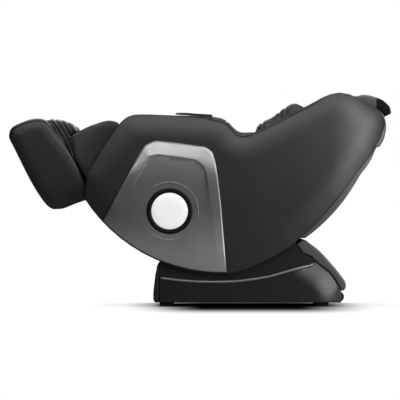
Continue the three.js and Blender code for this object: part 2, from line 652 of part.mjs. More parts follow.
// ---------- base ----------
const RIDGE = [[-187.5, 138], [-82, 125], [47, 119], [176, 123], [305, 141], [402, 167], [520, 199]];
const SEAM = [[474, 247], [496, 238], [515, 230], [529, 211], [558, 189], [594, 161], [619, 130], [638, 98],
  [651, 72]];
const HOOD = [[445, 289], [478, 310], [510, 289], [539, 268], [570, 239], [606, 198], [635, 164], [657, 135],
  [672, 110], [670, 80], [655, 74]];

function skirt() {
  const lower = [[-187.5, 18.5], ...smooth(RIDGE, 14), ...smooth(SEAM.slice(3), 7), [651, 18.5]];
  const behindShell = [[443.8, 289.2], [436, 300], [400, 276], [350, 246], [310, 221]];
  const guardTop = [...behindShell, ...arc(TILT_CENTRE, 742, 15, -22.9, 11)];
  const guard = [[-187.5, 60], [460, 60], [520, 196], ...SEAM.slice(0, 4).reverse(), [459, 268], ...guardTop];
  return join(facing(lower, SKIRT_INNER, SKIRT_OUTER, 7, 2), slab(guard, SKIRT_INNER - 6, SKIRT_INNER + 12));
}

function frontCover() {
  const outline = [[-188.3, 206], [-197, 193], [-206, 147], [-212, 101], [-216, 55], [-215, 31], [-208, 19],
    [-188.3, 19]];
  return slab(outline, -SKIRT_OUTER + 2, SKIRT_OUTER - 2, 3, 2);
}

function hood() {
  const outline = [...smooth(HOOD.slice(0, 3), 6).slice(0, -1), ...smooth(HOOD.slice(2), 12), [652, 74],
    ...[...SEAM].reverse().map(([x, z]) => [x + 0.6, z + 0.6]), [460.6, 269]];
  return slab(outline, -SKIRT_OUTER, SKIRT_OUTER, 8, 2);
}

const bracketPlaces = {
  front: polar(TILT_CENTRE, RAIL_RADIUS + 0.4 + CRADLE_ROLLER_RADIUS, FRONT_ROLLER_ANGLE),
  rear: polar(TILT_CENTRE, RAIL_RADIUS + 0.4 + CRADLE_ROLLER_RADIUS, REAR_ROLLER_ANGLE),
};

function basePlate() {
  const half = SKIRT_INNER - 7;
  const plate = box(-187, 600, -half, half, PLATE_LOW, PLATE_TOP);
  const ribs = [-200, -70, 70, 200].map((y) => box(-170, 590, y - 12, y + 12, PLATE_TOP - 2, PLATE_TOP + 14));
  const clevis = [[14, 21], [-21, -14]].map(([low, high]) => slab([[TILT_ANCHOR[0] - 40, PLATE_TOP - 2],
    [TILT_ANCHOR[0] + 40, PLATE_TOP - 2], [TILT_ANCHOR[0] + 14, TILT_ANCHOR[1] + 12],
    [TILT_ANCHOR[0] - 14, TILT_ANCHOR[1] + 12]], low, high));
  const pin = rodAcross(TILT_ANCHOR, 6, -21, 21, 20);
  const wheelArms = [1, -1].flatMap((side) => [
    box(590, WHEEL_CENTRE[0] + 10, ...[side * 246, side * 256].sort((a, b) => a - b), PLATE_LOW + 2, 56),
    rodAcross(WHEEL_CENTRE, 5, ...[side * 250, side * 284].sort((a, b) => a - b), 20),
  ]);
  return join(plate, ...ribs, ...clevis, pin, ...wheelArms);
}

function rollerBracket([x, z]) {
  const outline = [[x - 34, PLATE_TOP + GAP], [x + 34, PLATE_TOP + GAP], ...arc([x, z], 17, 75, 285, 10)];
  return cut(slab(outline, ROLLER_OUTER + 3, ROLLER_OUTER + 11), rodAcross([x, z], 8.6, 270, 300, 24));
}

function cradleRoller([x, z]) {
  const ring = (start) => turnedRing([[6, start], [CRADLE_ROLLER_RADIUS, start],
    [CRADLE_ROLLER_RADIUS, start + 18], [6, start + 18]], 20).translate(x, 0, z);
  return join(rodAcross([x, z], 8, -293, 293, 12), ring(ROLLER_INNER + 1), ring(-ROLLER_OUTER + 1));
}

function transportWheel() {
  const r = WHEEL_RADIUS;
  return turnedRing([[5.6, 258], [r - 2, 258], [r, 261], [r, 277], [r - 2, 280], [5.6, 280]], 20)
    .translate(WHEEL_CENTRE[0], 0, WHEEL_CENTRE[1]);
}

function airPump() {
  const tank = box(330, 450, -150, 150, 46 + GAP, 100);
  const fins = [-120, -80, -40, 0, 40, 80, 120].map((y) => box(338, 442, y - 3, y + 3, 98, 108));
  const outlets = [-60, 60].map((y) => rodAlong([330, 74], [300, 74], -4, 14, 6, 16, y));
  return join(tank, ...fins, ...outlets);
}

function powerInlet() {
  const plate = box(600 + GAP, 612, 60, 170, 24, 72);
  const socket = box(606, 620, 78, 106, 34, 58);
  const switchWell = box(604, 620, 128, 152, 35, 61);
  return cut(plate, socket, switchWell);
}

const SWITCH_PIVOT = [609, 48];
function powerSwitch() {
  const outline = [[605.5, 38], [613.5, 37.5], [611.5, 48], [612.5, 58.5], [605.5, 58]];
  return slab(outline, 129.5, 150.5);
}

add('base_plate', basePlate(), paintedSteel);
addPair('base_skirt', skirt(), glossBlack);
add('base_front_cover', frontCover(), glossBlack);
add('base_hood', hood(), satinGrey);
const floorBar = (start, end) => slab([[start + 1, 3], [start + 4, 0], [end - 5, 0], [end - 2, 3],
  [end, PLATE_LOW - GAP], [start, PLATE_LOW - GAP]], -282, 282);
add('floor_bar_front', floorBar(-187, -121), rubber);
add('floor_bar_rear', floorBar(534, 595), rubber);
for (const [place, centre] of Object.entries(bracketPlaces)) {
  addPair(`roller_bracket_${place}`, rollerBracket(centre), paintedSteel);
  add(`cradle_roller_${place}`, cradleRoller(centre), steel);
}
addPair('transport_wheel', transportWheel(), rubber);
add('air_pump', airPump(), blackPlastic);
add('power_inlet', powerInlet(), blackPlastic);
add('power_switch', powerSwitch(), blackPlastic);

export default chair;
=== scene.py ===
"""Dresses the jointed frame of a reclining massage chair.

Metres, +Z up. The sitter faces -X, so the feet are at -X and the head is at +X. Y = 0 is the plane of
symmetry: "right" is the sitter's right, +Y. Pieces are made for the right side and mirrored to the left.
"""

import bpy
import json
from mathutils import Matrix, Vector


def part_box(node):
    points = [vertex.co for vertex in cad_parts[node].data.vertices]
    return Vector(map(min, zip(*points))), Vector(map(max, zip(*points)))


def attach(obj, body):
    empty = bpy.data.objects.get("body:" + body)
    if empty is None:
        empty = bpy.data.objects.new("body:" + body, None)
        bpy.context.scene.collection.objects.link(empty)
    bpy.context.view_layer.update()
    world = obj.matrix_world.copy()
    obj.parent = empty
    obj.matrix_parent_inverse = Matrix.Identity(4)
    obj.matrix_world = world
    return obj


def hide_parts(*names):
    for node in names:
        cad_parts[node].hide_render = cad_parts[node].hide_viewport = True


bl_info = {
    "name": "Reclining massage chair",
    "version": (1, 0, 0),
    "blender": (4, 5, 0),
    "location": "3D View > Sidebar > Massage chair",
    "description": "Shells, pads, lamps and base of a reclining massage chair, round its jointed frame",
    "category": "Add Mesh",
}

import functools
import json
import math

import bmesh
import bpy
import numpy as np
from bpy.props import FloatProperty, FloatVectorProperty, PointerProperty
from mathutils import Matrix, Vector, noise

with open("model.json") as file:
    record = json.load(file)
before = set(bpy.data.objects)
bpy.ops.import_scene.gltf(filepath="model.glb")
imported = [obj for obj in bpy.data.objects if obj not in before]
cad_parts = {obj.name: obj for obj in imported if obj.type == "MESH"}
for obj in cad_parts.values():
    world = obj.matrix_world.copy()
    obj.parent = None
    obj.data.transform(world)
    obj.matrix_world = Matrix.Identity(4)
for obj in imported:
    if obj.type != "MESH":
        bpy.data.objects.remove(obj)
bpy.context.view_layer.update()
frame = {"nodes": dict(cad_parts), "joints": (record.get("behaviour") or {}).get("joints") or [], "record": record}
JOINTS = {joint["name"]: joint for joint in frame["joints"]}

# ---------- places in the chair's long section ----------
HIP = Vector((0.129, 0, 0.469))                    # where the seat and back surfaces meet
SEAT_SLOPE = math.radians(24)                      # rising to the knees
BACK_SLOPE = math.radians(38)
CALF_SLOPE = math.radians(30.5)                    # below horizontal, from the knee to the foot
KNEE = Vector(JOINTS["leg_rest_lift"]["pos_m"])
SLOPES = {
    "seat": (HIP, Vector((-math.cos(SEAT_SLOPE), 0, math.sin(SEAT_SLOPE)))),
    "back": (HIP, Vector((math.cos(BACK_SLOPE), 0, math.sin(BACK_SLOPE)))),
    "calf": (KNEE, Vector((-math.cos(CALF_SLOPE), 0, -math.sin(CALF_SLOPE)))),
}
ACROSS = Vector((0, 1, 0))
SHELL_INNER, SHELL_FACE = 0.354, 0.372
PANEL_MIDDLE = 0.51                                # height of the middle of a silver panel, where its painted shade is darkest
HEAD_BEND = (0.6, 0.9, 0.033)                      # the shells bend in from the first x, by so much at the second


def along(slope, points):
    """Where points lie along the seat, back or calf, in metres from its start."""
    start, way = SLOPES[slope]
    return (points - np.array(start)) @ np.array(way)


# ---------- sizes and colours that a user would change ----------
class ChairSizes(bpy.types.PropertyGroup):
    rim: FloatProperty(name="Shell slope", description="Width of the soft slope inside the edge of a side shell",
                       default=0.115, min=0.02, max=0.15, unit="LENGTH")
    crown: FloatProperty(name="Shell crown", description="How far the middle of a side shell stands proud of its edge",
                         default=0.0105, min=0.0, max=0.011, unit="LENGTH")
    swell: FloatProperty(name="Pad swell", description="How far the simulation may blow a pad out",
                         default=0.011, min=0.0, max=0.03, unit="LENGTH")
    seam: FloatProperty(name="Seam depth", description="Depth of the sewn channels in the pads",
                        default=0.008, min=0.0, max=0.02, unit="LENGTH")


def colour(name, description, default):
    return FloatVectorProperty(name=name, description=description, default=default, subtype="COLOR",
                               size=3, min=0.0, max=1.0)


class ChairColours(bpy.types.PropertyGroup):
    shell: colour("Shell leather", "Synthetic leather on the outer shells", (0.0045, 0.0045, 0.0047))
    pad: colour("Pad leather", "Softer leather of the cushions", (0.021, 0.021, 0.022))
    silver: colour("Silver panel", "Metallic paint of the side panels", (0.178, 0.18, 0.184))
    gloss: colour("Gloss black", "Lacquered plastic of the base and lamp rings", (0.0055, 0.0055, 0.006))
    satin: colour("Satin grey", "Moulded covers behind the chair", (0.04, 0.041, 0.044))
    lens: colour("Lens", "Opal plastic in front of the lamps", (0.82, 0.83, 0.83))


def sizes():
    return bpy.context.scene.massage_chair_sizes


def colours():
    return bpy.context.scene.massage_chair_colours


# ---------- shader nodes ----------
def feed(tree, node, inputs):
    """Sets a node's inputs. Each is a value, or another node's output to link from."""
    for socket, value in inputs.items():
        if isinstance(value, bpy.types.NodeSocket):
            tree.links.new(value, node.inputs[socket])
        else:
            node.inputs[socket].default_value = value


def put(tree, kind, inputs=None, **settings):
    made = tree.nodes.new(f"ShaderNode{kind}")
    for name, value in settings.items():
        setattr(made, name, value)
    feed(tree, made, inputs or {})
    return made


def clouds(tree, where, scale, detail, output="Fac", **more):
    return put(tree, "TexNoise", {"Vector": where, "Scale": scale, "Detail": detail, **more}).outputs[output]


def ranged(tree, value, low, high, to_low=0.0, to_high=1.0, kind="SMOOTHSTEP"):
    """A value carried from the range low to high over to another range."""
    return put(tree, "MapRange", {"Value": value, "From Min": low, "From Max": high, "To Min": to_low,
                                  "To Max": to_high}, interpolation_type=kind).outputs[0]


def numbers(tree, operation, *values, **settings):
    return put(tree, "Math", dict(enumerate(values)), operation=operation, **settings).outputs[0]


def vectors(tree, operation, *values):
    return put(tree, "VectorMath", dict(enumerate(values)), operation=operation).outputs[0]


def mixed(tree, factor, first, second):
    return put(tree, "Mix", {"Factor": factor, "A": first, "B": second}, data_type="RGBA").outputs["Result"]


# ---------- shader node groups ----------
FLOAT, VECTOR, COLOR = "NodeSocketFloat", "NodeSocketVector", "NodeSocketColor"


def group(name, inputs, outputs):
    """A shader node group with these sockets, what its input node gives and what its output node takes."""
    tree = bpy.data.node_groups.new(name, "ShaderNodeTree")
    for socket, (kind, default) in {"Vector": (VECTOR, (0, 0, 0)), **inputs}.items():
        tree.interface.new_socket(name=socket, in_out="INPUT", socket_type=kind).default_value = default
    for socket, kind in outputs.items():
        tree.interface.new_socket(name=socket, in_out="OUTPUT", socket_type=kind)
    return tree, tree.nodes.new("NodeGroupInput").outputs, tree.nodes.new("NodeGroupOutput")


def grain_group():
    """Pebbled leather: small cells with creases between them, and longer soft wrinkles."""
    tree, given, out = group("Leather grain", {"Cells": (FLOAT, 600.0), "Wrinkles": (FLOAT, 0.3)},
                             {"Height": FLOAT, "Crease": FLOAT})
    jitter = clouds(tree, given["Vector"], 90.0, 3.0, "Color")
    place = vectors(tree, "ADD", given["Vector"], vectors(tree, "MULTIPLY", jitter, (0.004, 0.004, 0.004)))
    cells = put(tree, "TexVoronoi", {"Vector": place, "Scale": given["Cells"]}, feature="DISTANCE_TO_EDGE")
    crease = ranged(tree, cells.outputs["Distance"], 0.0, 0.16)
    ridge = numbers(tree, "MULTIPLY", clouds(tree, place, 26.0, 4.0, Distortion=0.8), given["Wrinkles"])
    feed(tree, out, {"Height": numbers(tree, "ADD", crease, ridge), "Crease": crease})
    return tree


def drift_group():
    """Two tones that drift into each other over the surface."""
    tree, given, out = group("Tone drift", {"Scale": (FLOAT, 4.0), "Light": (COLOR, (1, 1, 1, 1)),
                                            "Dark": (COLOR, (0, 0, 0, 1))}, {"Color": COLOR, "Mask": FLOAT})
    mask = ranged(tree, clouds(tree, given["Vector"], given["Scale"], 5.0, Roughness=0.6), 0.35, 0.65)
    feed(tree, out, {"Color": mixed(tree, mask, given["Dark"], given["Light"]), "Mask": mask})
    return tree


def haze_group():
    """Roughness with faint rubbing marks: fine cross scratches over soft patches."""
    tree, given, out = group("Rubbed gloss", {"Low": (FLOAT, 0.2), "High": (FLOAT, 0.4), "Marks": (FLOAT, 0.3)},
                             {"Roughness": FLOAT, "Height": FLOAT})
    stretched = put(tree, "Mapping", {"Vector": given["Vector"], "Scale": (9.0, 9.0, 220.0),
                                      "Rotation": (0.0, 0.5, 0.0)}).outputs[0]
    fine = ranged(tree, clouds(tree, stretched, 3.0, 2.0), 0.62, 0.72, kind="LINEAR")
    marks = numbers(tree, "MULTIPLY", fine, given["Marks"])
    share = numbers(tree, "ADD", clouds(tree, given["Vector"], 7.0, 6.0), marks, use_clamp=True)
    rough = ranged(tree, share, 0.0, 1.0, given["Low"], given["High"], "LINEAR")
    feed(tree, out, {"Roughness": rough, "Height": marks})
    return tree


def brushed_group():
    """Long fine lines along one direction, as on drawn or turned steel."""
    tree, given, out = group("Brushed lines", {"Stretch": (VECTOR, (20.0, 600.0, 20.0))},
                             {"Height": FLOAT, "Mask": FLOAT})
    lines = clouds(tree, vectors(tree, "MULTIPLY", given["Vector"], given["Stretch"]), 1.0, 3.0)
    feed(tree, out, {"Height": lines, "Mask": ranged(tree, lines, 0.3, 0.7, kind="LINEAR")})
    return tree


def pimple_group():
    """Moulded plastic or rubber: an even spark-eroded texture."""
    tree, given, out = group("Moulded skin", {"Scale": (FLOAT, 900.0)}, {"Height": FLOAT})
    feed(tree, out, {"Height": ranged(tree, clouds(tree, given["Vector"], given["Scale"], 2.0), 0.35, 0.65)})
    return tree


EFFECTS = {"grain": grain_group, "drift": drift_group, "haze": haze_group, "brushed": brushed_group,
           "pimple": pimple_group}
made_groups = {}


def effect(tree, name, inputs):
    """Places a node group in a material, and gives back what it puts out. Each group is built once."""
    if name not in made_groups:
        made_groups[name] = EFFECTS[name]()
    made = tree.nodes.new("ShaderNodeGroup")
    made.node_tree = made_groups[name]
    feed(tree, made, inputs)
    return made.outputs


# ---------- finishes ----------
def tone(rgb, factor=1.0):
    return (*(min(1.0, channel * factor) for channel in rgb), 1.0)


def blank_material(name):
    """A material with no nodes but the one for Object coordinates."""
    made = bpy.data.materials.new(name)
    made.use_nodes = True
    made.node_tree.nodes.clear()
    return made, made.node_tree, put(made.node_tree, "TexCoord").outputs["Object"]


def start_finish(name, **constants):
    """A material with its shader. Values that don't vary sit on the shader itself."""
    made, tree, where = blank_material(name)
    shader = put(tree, "BsdfPrincipled", {key.replace("_", " "): value for key, value in constants.items()})
    put(tree, "OutputMaterial", {"Surface": shader.outputs[0]})
    return made, tree, shader, where


def drifting(tree, where, scale, rgb, light, dark):
    """One colour that drifts between a lighter and a darker tone."""
    return effect(tree, "drift", {"Vector": where, "Scale": scale, "Light": tone(rgb, light),
                                  "Dark": tone(rgb, dark)})["Color"]


def rub(tree, shader, where, low, high, marks):
    """Gives the shader its varying roughness, and gives back the height of the rubbing marks."""
    rubbed = effect(tree, "haze", {"Vector": where, "Low": low, "High": high, "Marks": marks})
    feed(tree, shader, {"Roughness": rubbed["Roughness"]})
    return rubbed["Height"]


def raise_surface(tree, shader, height, depth, strength=0.6):
    bump = put(tree, "Bump", {"Height": height, "Distance": depth, "Strength": strength})
    feed(tree, shader, {"Normal": bump.outputs[0]})


def leather(name, rgb, low, high, cells=620.0, wrinkles=0.35, depth=0.0005, sheen=0.0, ior=1.48):
    made, tree, shader, where = start_finish(name, IOR=ior, Sheen_Weight=sheen, Sheen_Roughness=0.4)
    grain = effect(tree, "grain", {"Vector": where, "Cells": cells, "Wrinkles": wrinkles})
    drift = drifting(tree, where, 3.5, rgb, 1.12, 0.86)
    # The creases between the grain's cells are darker than the cells: painted shade in the creases.
    feed(tree, shader, {"Base Color": mixed(tree, grain["Crease"], tone(rgb, 0.55), drift)})
    rub(tree, shader, where, low, high, 0.02)
    raise_surface(tree, shader, grain["Height"], depth, 0.45)
    return made


def flakes_and_painted_light(tree, where, rgb, drift, flakes):
    """Metallic paint with flakes, with painted shade across the middle of a side panel and painted highlight towards
    its top and bottom.
    """
    height = put(tree, "SeparateXYZ", {0: where}).outputs["Z"]
    off = numbers(tree, "ABSOLUTE", numbers(tree, "SUBTRACT", height, PANEL_MIDDLE))
    lit = ranged(tree, clouds(tree, where, 1400.0, 1.0), 0.5, 0.75, 0.0, flakes, "LINEAR")
    # Darker across the middle of the panel and lighter towards its top and bottom: painted shade and painted highlight.
    coat = put(tree, "VectorMath", {0: mixed(tree, lit, drift, tone(rgb, 1.6)),
                                    "Scale": ranged(tree, off, 0.04, 0.31, 0.68, 1.6)}, operation="SCALE")
    return coat.outputs[0]


def lacquer(name, rgb, low, high, metallic=0.0, coat=0.0, marks=0.25, flakes=0.0, ior=1.5):
    made, tree, shader, where = start_finish(name, Metallic=metallic, Coat_Weight=coat, Coat_Roughness=0.08, IOR=ior)
    drift = drifting(tree, where, 2.5, rgb, 1.06, 0.94)
    # Flaked paint also carries painted shade across the middle of a panel and painted highlight towards its top and
    # bottom.
    feed(tree, shader, {"Base Color": flakes_and_painted_light(tree, where, rgb, drift, flakes) if flakes else drift})
    raise_surface(tree, shader, rub(tree, shader, where, low, high, marks), 0.00006, 0.3)
    return made


def moulded(name, rgb, low, high, scale=900.0, depth=0.00022):
    made, tree, shader, where = start_finish(name, IOR=1.46)
    feed(tree, shader, {"Base Color": drifting(tree, where, 6.0, rgb, 1.15, 0.85)})
    rub(tree, shader, where, low, high, 0.1)
    raise_surface(tree, shader, effect(tree, "pimple", {"Vector": where, "Scale": scale})["Height"], depth)
    return made


def drawn_metal(name, rgb, low, high, stretch=(20.0, 700.0, 20.0)):
    made, tree, shader, where = start_finish(name, Metallic=1.0)
    lines = effect(tree, "brushed", {"Vector": where, "Stretch": stretch})
    feed(tree, shader, {"Base Color": mixed(tree, lines["Mask"], tone(rgb, 0.8), tone(rgb, 1.1))})
    rub(tree, shader, where, low, high, 0.2)
    raise_surface(tree, shader, lines["Height"], 0.00005, 0.4)
    return made


def opal(name, rgb):
    """White plastic, lit softly from behind."""
    made, tree, shader, where = start_finish(name, Emission_Strength=0.21, Coat_Weight=0.3)
    drift = drifting(tree, where, 9.0, rgb, 1.0, 0.97)
    feed(tree, shader, {"Base Color": drift, "Emission Color": drift})
    rub(tree, shader, where, 0.28, 0.4, 0.2)
    return made


def make_finish(name):
    tint = colours()
    makers = {
        "shell_leather": lambda: leather(name, tint.shell, 0.31, 0.36, cells=560.0, wrinkles=0.1, depth=0.00006),
        "pad_leather": lambda: leather(name, tint.pad, 0.42, 0.58, cells=480.0, wrinkles=0.7, depth=0.0006,
                                       sheen=0.05),
        # The head pillow's two leathers are a shaded and a lit copy: painted shade on its hanging end, painted
        # highlight on the rest.
        "pillow_end_painted_shade": lambda: leather(name, tone(tint.shell, 0.7)[:3], 0.5, 0.6, cells=560.0, wrinkles=0.3,
                                        depth=0.0003, ior=1.2),
        "pillow_painted_highlight": lambda: leather(name, tone(tint.pad, 2.6)[:3], 0.36, 0.5, cells=480.0, wrinkles=0.7,
                                          depth=0.0005),
        "thread": lambda: leather(name, (0.05, 0.05, 0.052), 0.5, 0.6, cells=1500.0, wrinkles=0.1, depth=0.0002),
        "silver_panel": lambda: lacquer(name, tint.silver, 0.30, 0.40, metallic=0.85, coat=0.15, flakes=0.5),
        "gloss_black": lambda: lacquer(name, tint.gloss, 0.26, 0.29, marks=0.1, ior=1.42),
        "lamp_black": lambda: lacquer(name, tone(tint.gloss, 0.5)[:3], 0.34, 0.44, ior=1.22),
        # lighter and more metallic than the gloss black of the skirt under it: a painted highlight along the skirt's
        # lip
        "lip_painted_highlight": lambda: lacquer(name, (0.19, 0.19, 0.195), 0.3, 0.4, metallic=0.6),
        "satin_grey": lambda: lacquer(name, tint.satin, 0.34, 0.46),
        "opal_lens": lambda: opal(name, tint.lens),
        "painted_steel": lambda: moulded(name, (0.022, 0.024, 0.027), 0.38, 0.55, scale=420.0),
        "bare_steel": lambda: drawn_metal(name, (0.42, 0.43, 0.45), 0.22, 0.36),
        "polished_rod": lambda: drawn_metal(name, (0.62, 0.63, 0.65), 0.08, 0.18, (60.0, 60.0, 60.0)),
        "cast_alloy": lambda: moulded(name, (0.16, 0.165, 0.17), 0.45, 0.6, scale=300.0, depth=0.0004),
        "black_plastic": lambda: moulded(name, (0.018, 0.018, 0.019), 0.42, 0.56),
        "rubber": lambda: moulded(name, (0.011, 0.011, 0.011), 0.66, 0.8, scale=500.0, depth=0.0003),
        "pad_roller": lambda: moulded(name, (0.03, 0.03, 0.032), 0.5, 0.62, scale=700.0),
    }
    return makers[name]()


made_finishes = {}


def finish(name):
    if name not in made_finishes:
        made_finishes[name] = make_finish(name)
    return made_finishes[name]


# ---------- mesh helpers ----------
SHARP = math.radians(38)


def merged(node):
    """A copy of a CAD node's mesh with its loose triangles joined up."""
    mesh = bmesh.new()
    mesh.from_mesh(frame["nodes"][node].data)
    bmesh.ops.remove_doubles(mesh, verts=mesh.verts, dist=2e-6)
    return mesh


def everything(mesh):
    return [*mesh.verts, *mesh.edges, *mesh.faces]


def to_object(mesh, name, sharp=SHARP):
    for face in mesh.faces:
        face.smooth = True
    for edge in mesh.edges:
        edge.smooth = len(edge.link_faces) != 2 or edge.calc_face_angle(0.0) < sharp
    data = bpy.data.meshes.new(name)
    mesh.to_mesh(data)
    mesh.free()
    made = bpy.data.objects.new(name, data)
    bpy.context.scene.collection.objects.link(made)
    return made


def settle(piece, look, body, stands_for=()):
    """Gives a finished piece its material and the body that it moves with."""
    piece.data.materials.clear()
    piece.data.materials.append(finish(look))
    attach(piece, body)
    if stands_for:
        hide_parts(*stands_for)
    return piece


def mirrored(piece, name):
    data = piece.data.copy()
    data.transform(Matrix.Scale(-1, 4, ACROSS))
    data.flip_normals()
    made = bpy.data.objects.new(name, data)
    bpy.context.scene.collection.objects.link(made)
    return made


def settle_pair(right, base, look, body, nodes=()):
    """The right-hand piece, a mesh or an object, and its mirror image, each standing for its own CAD nodes."""
    if isinstance(right, bmesh.types.BMesh):
        right = to_object(right, base)
    left = mirrored(right, f"{base}_left")
    right.name = f"{base}_right"
    for piece, side in ((right, "right"), (left, "left")):
        settle(piece, look, body, [f"{node}_{side}" for node in nodes])
    return right, left


# ---------- outlines ----------

def bend(x):
    """How far a shell's face has come in towards the middle of the chair at x."""
    start, end, inward = HEAD_BEND
    return inward * (np.maximum(x - start, 0) / (end - start)) ** 2


def bend_in(mesh, share=lambda y: 1.0):
    """Bends a piece in with the shells. share(y) is how much of the shells' own bend a point takes."""
    for vert in mesh.verts:
        side = math.copysign(1, vert.co.y)
        vert.co.y -= side * share(abs(vert.co.y)) * float(bend(vert.co.x))
    return mesh


def section(node, level, bent=False):
    """The longest outline of a CAD node in the plane y = level, as (x, z) rows, starting at its lowest x."""
    mesh = merged(node)
    if bent:
        bend_in(mesh, lambda y: -1.0)
    cut = bmesh.ops.bisect_plane(mesh, geom=everything(mesh), plane_co=(0, level, 0), plane_no=ACROSS, dist=1e-7)
    left = {item for item in cut["geom_cut"] if isinstance(item, bmesh.types.BMEdge)}
    loops = []
    while left:
        edge = left.pop()
        first, here = edge.verts
        loop = [first]
        while here != first:
            loop.append(here)
            edge = next((e for e in here.link_edges if e in left), None)
            if edge is None:
                break
            left.discard(edge)
            here = edge.other_vert(here)
        loops.append(np.array([(v.co.x, v.co.z) for v in loop]))
    mesh.free()
    outline = max(loops, key=lambda loop: np.ptp(loop, axis=0).sum())
    ahead = np.roll(outline, -1, axis=0)
    area = (outline[:, 0] * ahead[:, 1] - ahead[:, 0] * outline[:, 1]).sum()
    if area < 0:
        outline = outline[::-1]
    return np.roll(outline, -int(np.lexsort((outline[:, 1], outline[:, 0]))[0]), axis=0)


def rounded(outline, step, corner=math.radians(34), shortest=0.0015):
    """A smooth closed line through the outline's points, in even steps. Turns above corner stay sharp."""
    gaps = np.linalg.norm(outline - np.roll(outline, 1, axis=0), axis=1)
    points = outline[gaps > shortest]
    ahead = np.roll(points, -1, axis=0) - points
    lengths = np.linalg.norm(ahead, axis=1)
    ways = ahead / lengths[:, None]
    before = np.roll(ways, 1, axis=0)
    turns = np.arccos(np.clip((ways * before).sum(1), -1, 1))
    weights = np.roll(lengths, 1)[:, None]
    tangents = before * lengths[:, None] + ways * weights
    tangents /= np.linalg.norm(tangents, axis=1)[:, None]
    sharp = turns > corner
    made, held = [], []
    for i in range(len(points)):
        held.append(len(made))
        j = (i + 1) % len(points)
        start = ways[i] if sharp[i] else tangents[i]
        end = ways[i] if sharp[j] else tangents[j]
        count = max(1, math.ceil(lengths[i] / step))
        for t in np.arange(count) / count:
            hermite = (2 * t**3 - 3 * t**2 + 1, t**3 - 2 * t**2 + t, 3 * t**2 - 2 * t**3, t**3 - t**2)
            made.append(hermite[0] * points[i] + hermite[1] * lengths[i] * start
                        + hermite[2] * points[j] + hermite[3] * lengths[i] * end)
    return evened(np.array(made), [place for place, corner in zip(held, sharp) if corner])


def evened(line, corners, rounds=14):
    """Takes the ripples out of a closed line without shrinking it. The corners stay."""
    free = np.ones(len(line))
    free[corners] = 0
    for share in (0.5, -0.53) * rounds:
        middle = (np.roll(line, 1, axis=0) + np.roll(line, -1, axis=0)) / 2
        line = line + (middle - line) * share * free[:, None]
    return line


def distance_to(line, points, closed=True):
    """Distance of each (x, z) point from a line of points."""
    ends = np.roll(line, -1, axis=0) if closed else line[1:]
    starts = line if closed else line[:-1]
    best = np.full(len(points), 1e9)
    for start, end in zip(starts, ends):
        way = end - start
        share = np.clip(((points - start) @ way) / max(way @ way, 1e-12), 0, 1)
        best = np.minimum(best, np.linalg.norm(points - start - share[:, None] * way, axis=1))
    return best


def smoothstep(value, low, high):
    t = np.clip((value - low) / (high - low), 0, 1)
    return t * t * (3 - 2 * t)


def flat_face(outline):
    mesh = bmesh.new()
    face = mesh.faces.new([mesh.verts.new((x, 0, z)) for x, z in outline])
    return mesh, face


def grid_cut(mesh, pitch):
    """Cuts the faces marked 1 into cells of that pitch."""
    inner = [v.co for f in mesh.faces if f.material_index == 1 for v in f.verts]
    for axis, way in ((0, Vector((1, 0, 0))), (2, Vector((0, 0, 1)))):
        low, high = min(co[axis] for co in inner), max(co[axis] for co in inner)
        for place in np.arange(low + pitch / 2, high, pitch):
            faces = [f for f in mesh.faces if f.material_index == 1]
            parts = {item for f in faces for item in (*f.verts, *f.edges)}
            bmesh.ops.bisect_plane(mesh, geom=[*faces, *parts], plane_co=way * place, plane_no=way, dist=1e-6)


def ringed(mesh, face, rings, pitch):
    """Rings that follow the rim of a flat face, and a grid inside them."""
    for ring in rings:
        bmesh.ops.inset_region(mesh, faces=[face], thickness=ring, use_even_offset=False, use_boundary=True)
        bmesh.ops.remove_doubles(mesh, verts=face.verts[:], dist=0.0012)
        face = max(mesh.faces, key=lambda other: len(other.verts))
    for other in mesh.faces:
        other.material_index = 1 if other is face else 0
    grid_cut(mesh, pitch)
    for other in mesh.faces:
        other.material_index = 0


def raise_relief(mesh, outline, height):
    flat = np.array([(v.co.x, v.co.z) for v in mesh.verts])
    for vert, y in zip(mesh.verts, height(flat, distance_to(outline, flat))):
        vert.co.y = y


def close_back(mesh, behind):
    """Closes a relief with a copy of itself. behind gives the copy's Y at rows of (x, y, z)."""
    made = bmesh.ops.duplicate(mesh, geom=everything(mesh))["geom"]
    verts = [item for item in made if isinstance(item, bmesh.types.BMVert)]
    for vert, y in zip(verts, behind(np.array([vert.co for vert in verts]))):
        vert.co.y = y
    bmesh.ops.reverse_faces(mesh, faces=[item for item in made if isinstance(item, bmesh.types.BMFace)])
    bmesh.ops.bridge_loops(mesh, edges=[e for e in mesh.edges if e.is_boundary])
    bmesh.ops.recalc_face_normals(mesh, faces=mesh.faces)
    return mesh


def relief(outline, back, height, rings, pitch):
    """A plate whose front is a relief: height(points, rim distance) gives each point's Y. Its back is flat."""
    mesh, face = flat_face(outline)
    ringed(mesh, face, rings, pitch)
    raise_relief(mesh, outline, height)
    return close_back(mesh, lambda points: np.full(len(points), back))


RIM_STEPS = (0.05, 0.1, 0.15, 0.2, 0.25, 0.25, 0.3)


def bolster(outline, low, high, width, depth):
    """A form that runs across the chair between two equal ends, each with a rounded rim."""
    mesh, face = flat_face(outline)
    ringed(mesh, face, [width * share for share in RIM_STEPS], 0.03)
    raise_relief(mesh, outline, lambda points, rim: high - dome(rim, width, depth))
    return close_back(mesh, lambda points: low + high - points[:, 1])


def shoulder(distance, width, depth):
    """How far a soft slope of that width and depth has dropped at a distance from the edge."""
    return depth * np.clip(1 - distance / width, 0, 1) ** 2


def dome(distance, width, depth):
    """How far a quarter-round rim of that width and depth has dropped at a distance from the edge."""
    t = np.clip(distance / width, 0, 1)
    return depth * (1 - np.sqrt(np.clip(1 - (1 - t) ** 2, 0, 1)))


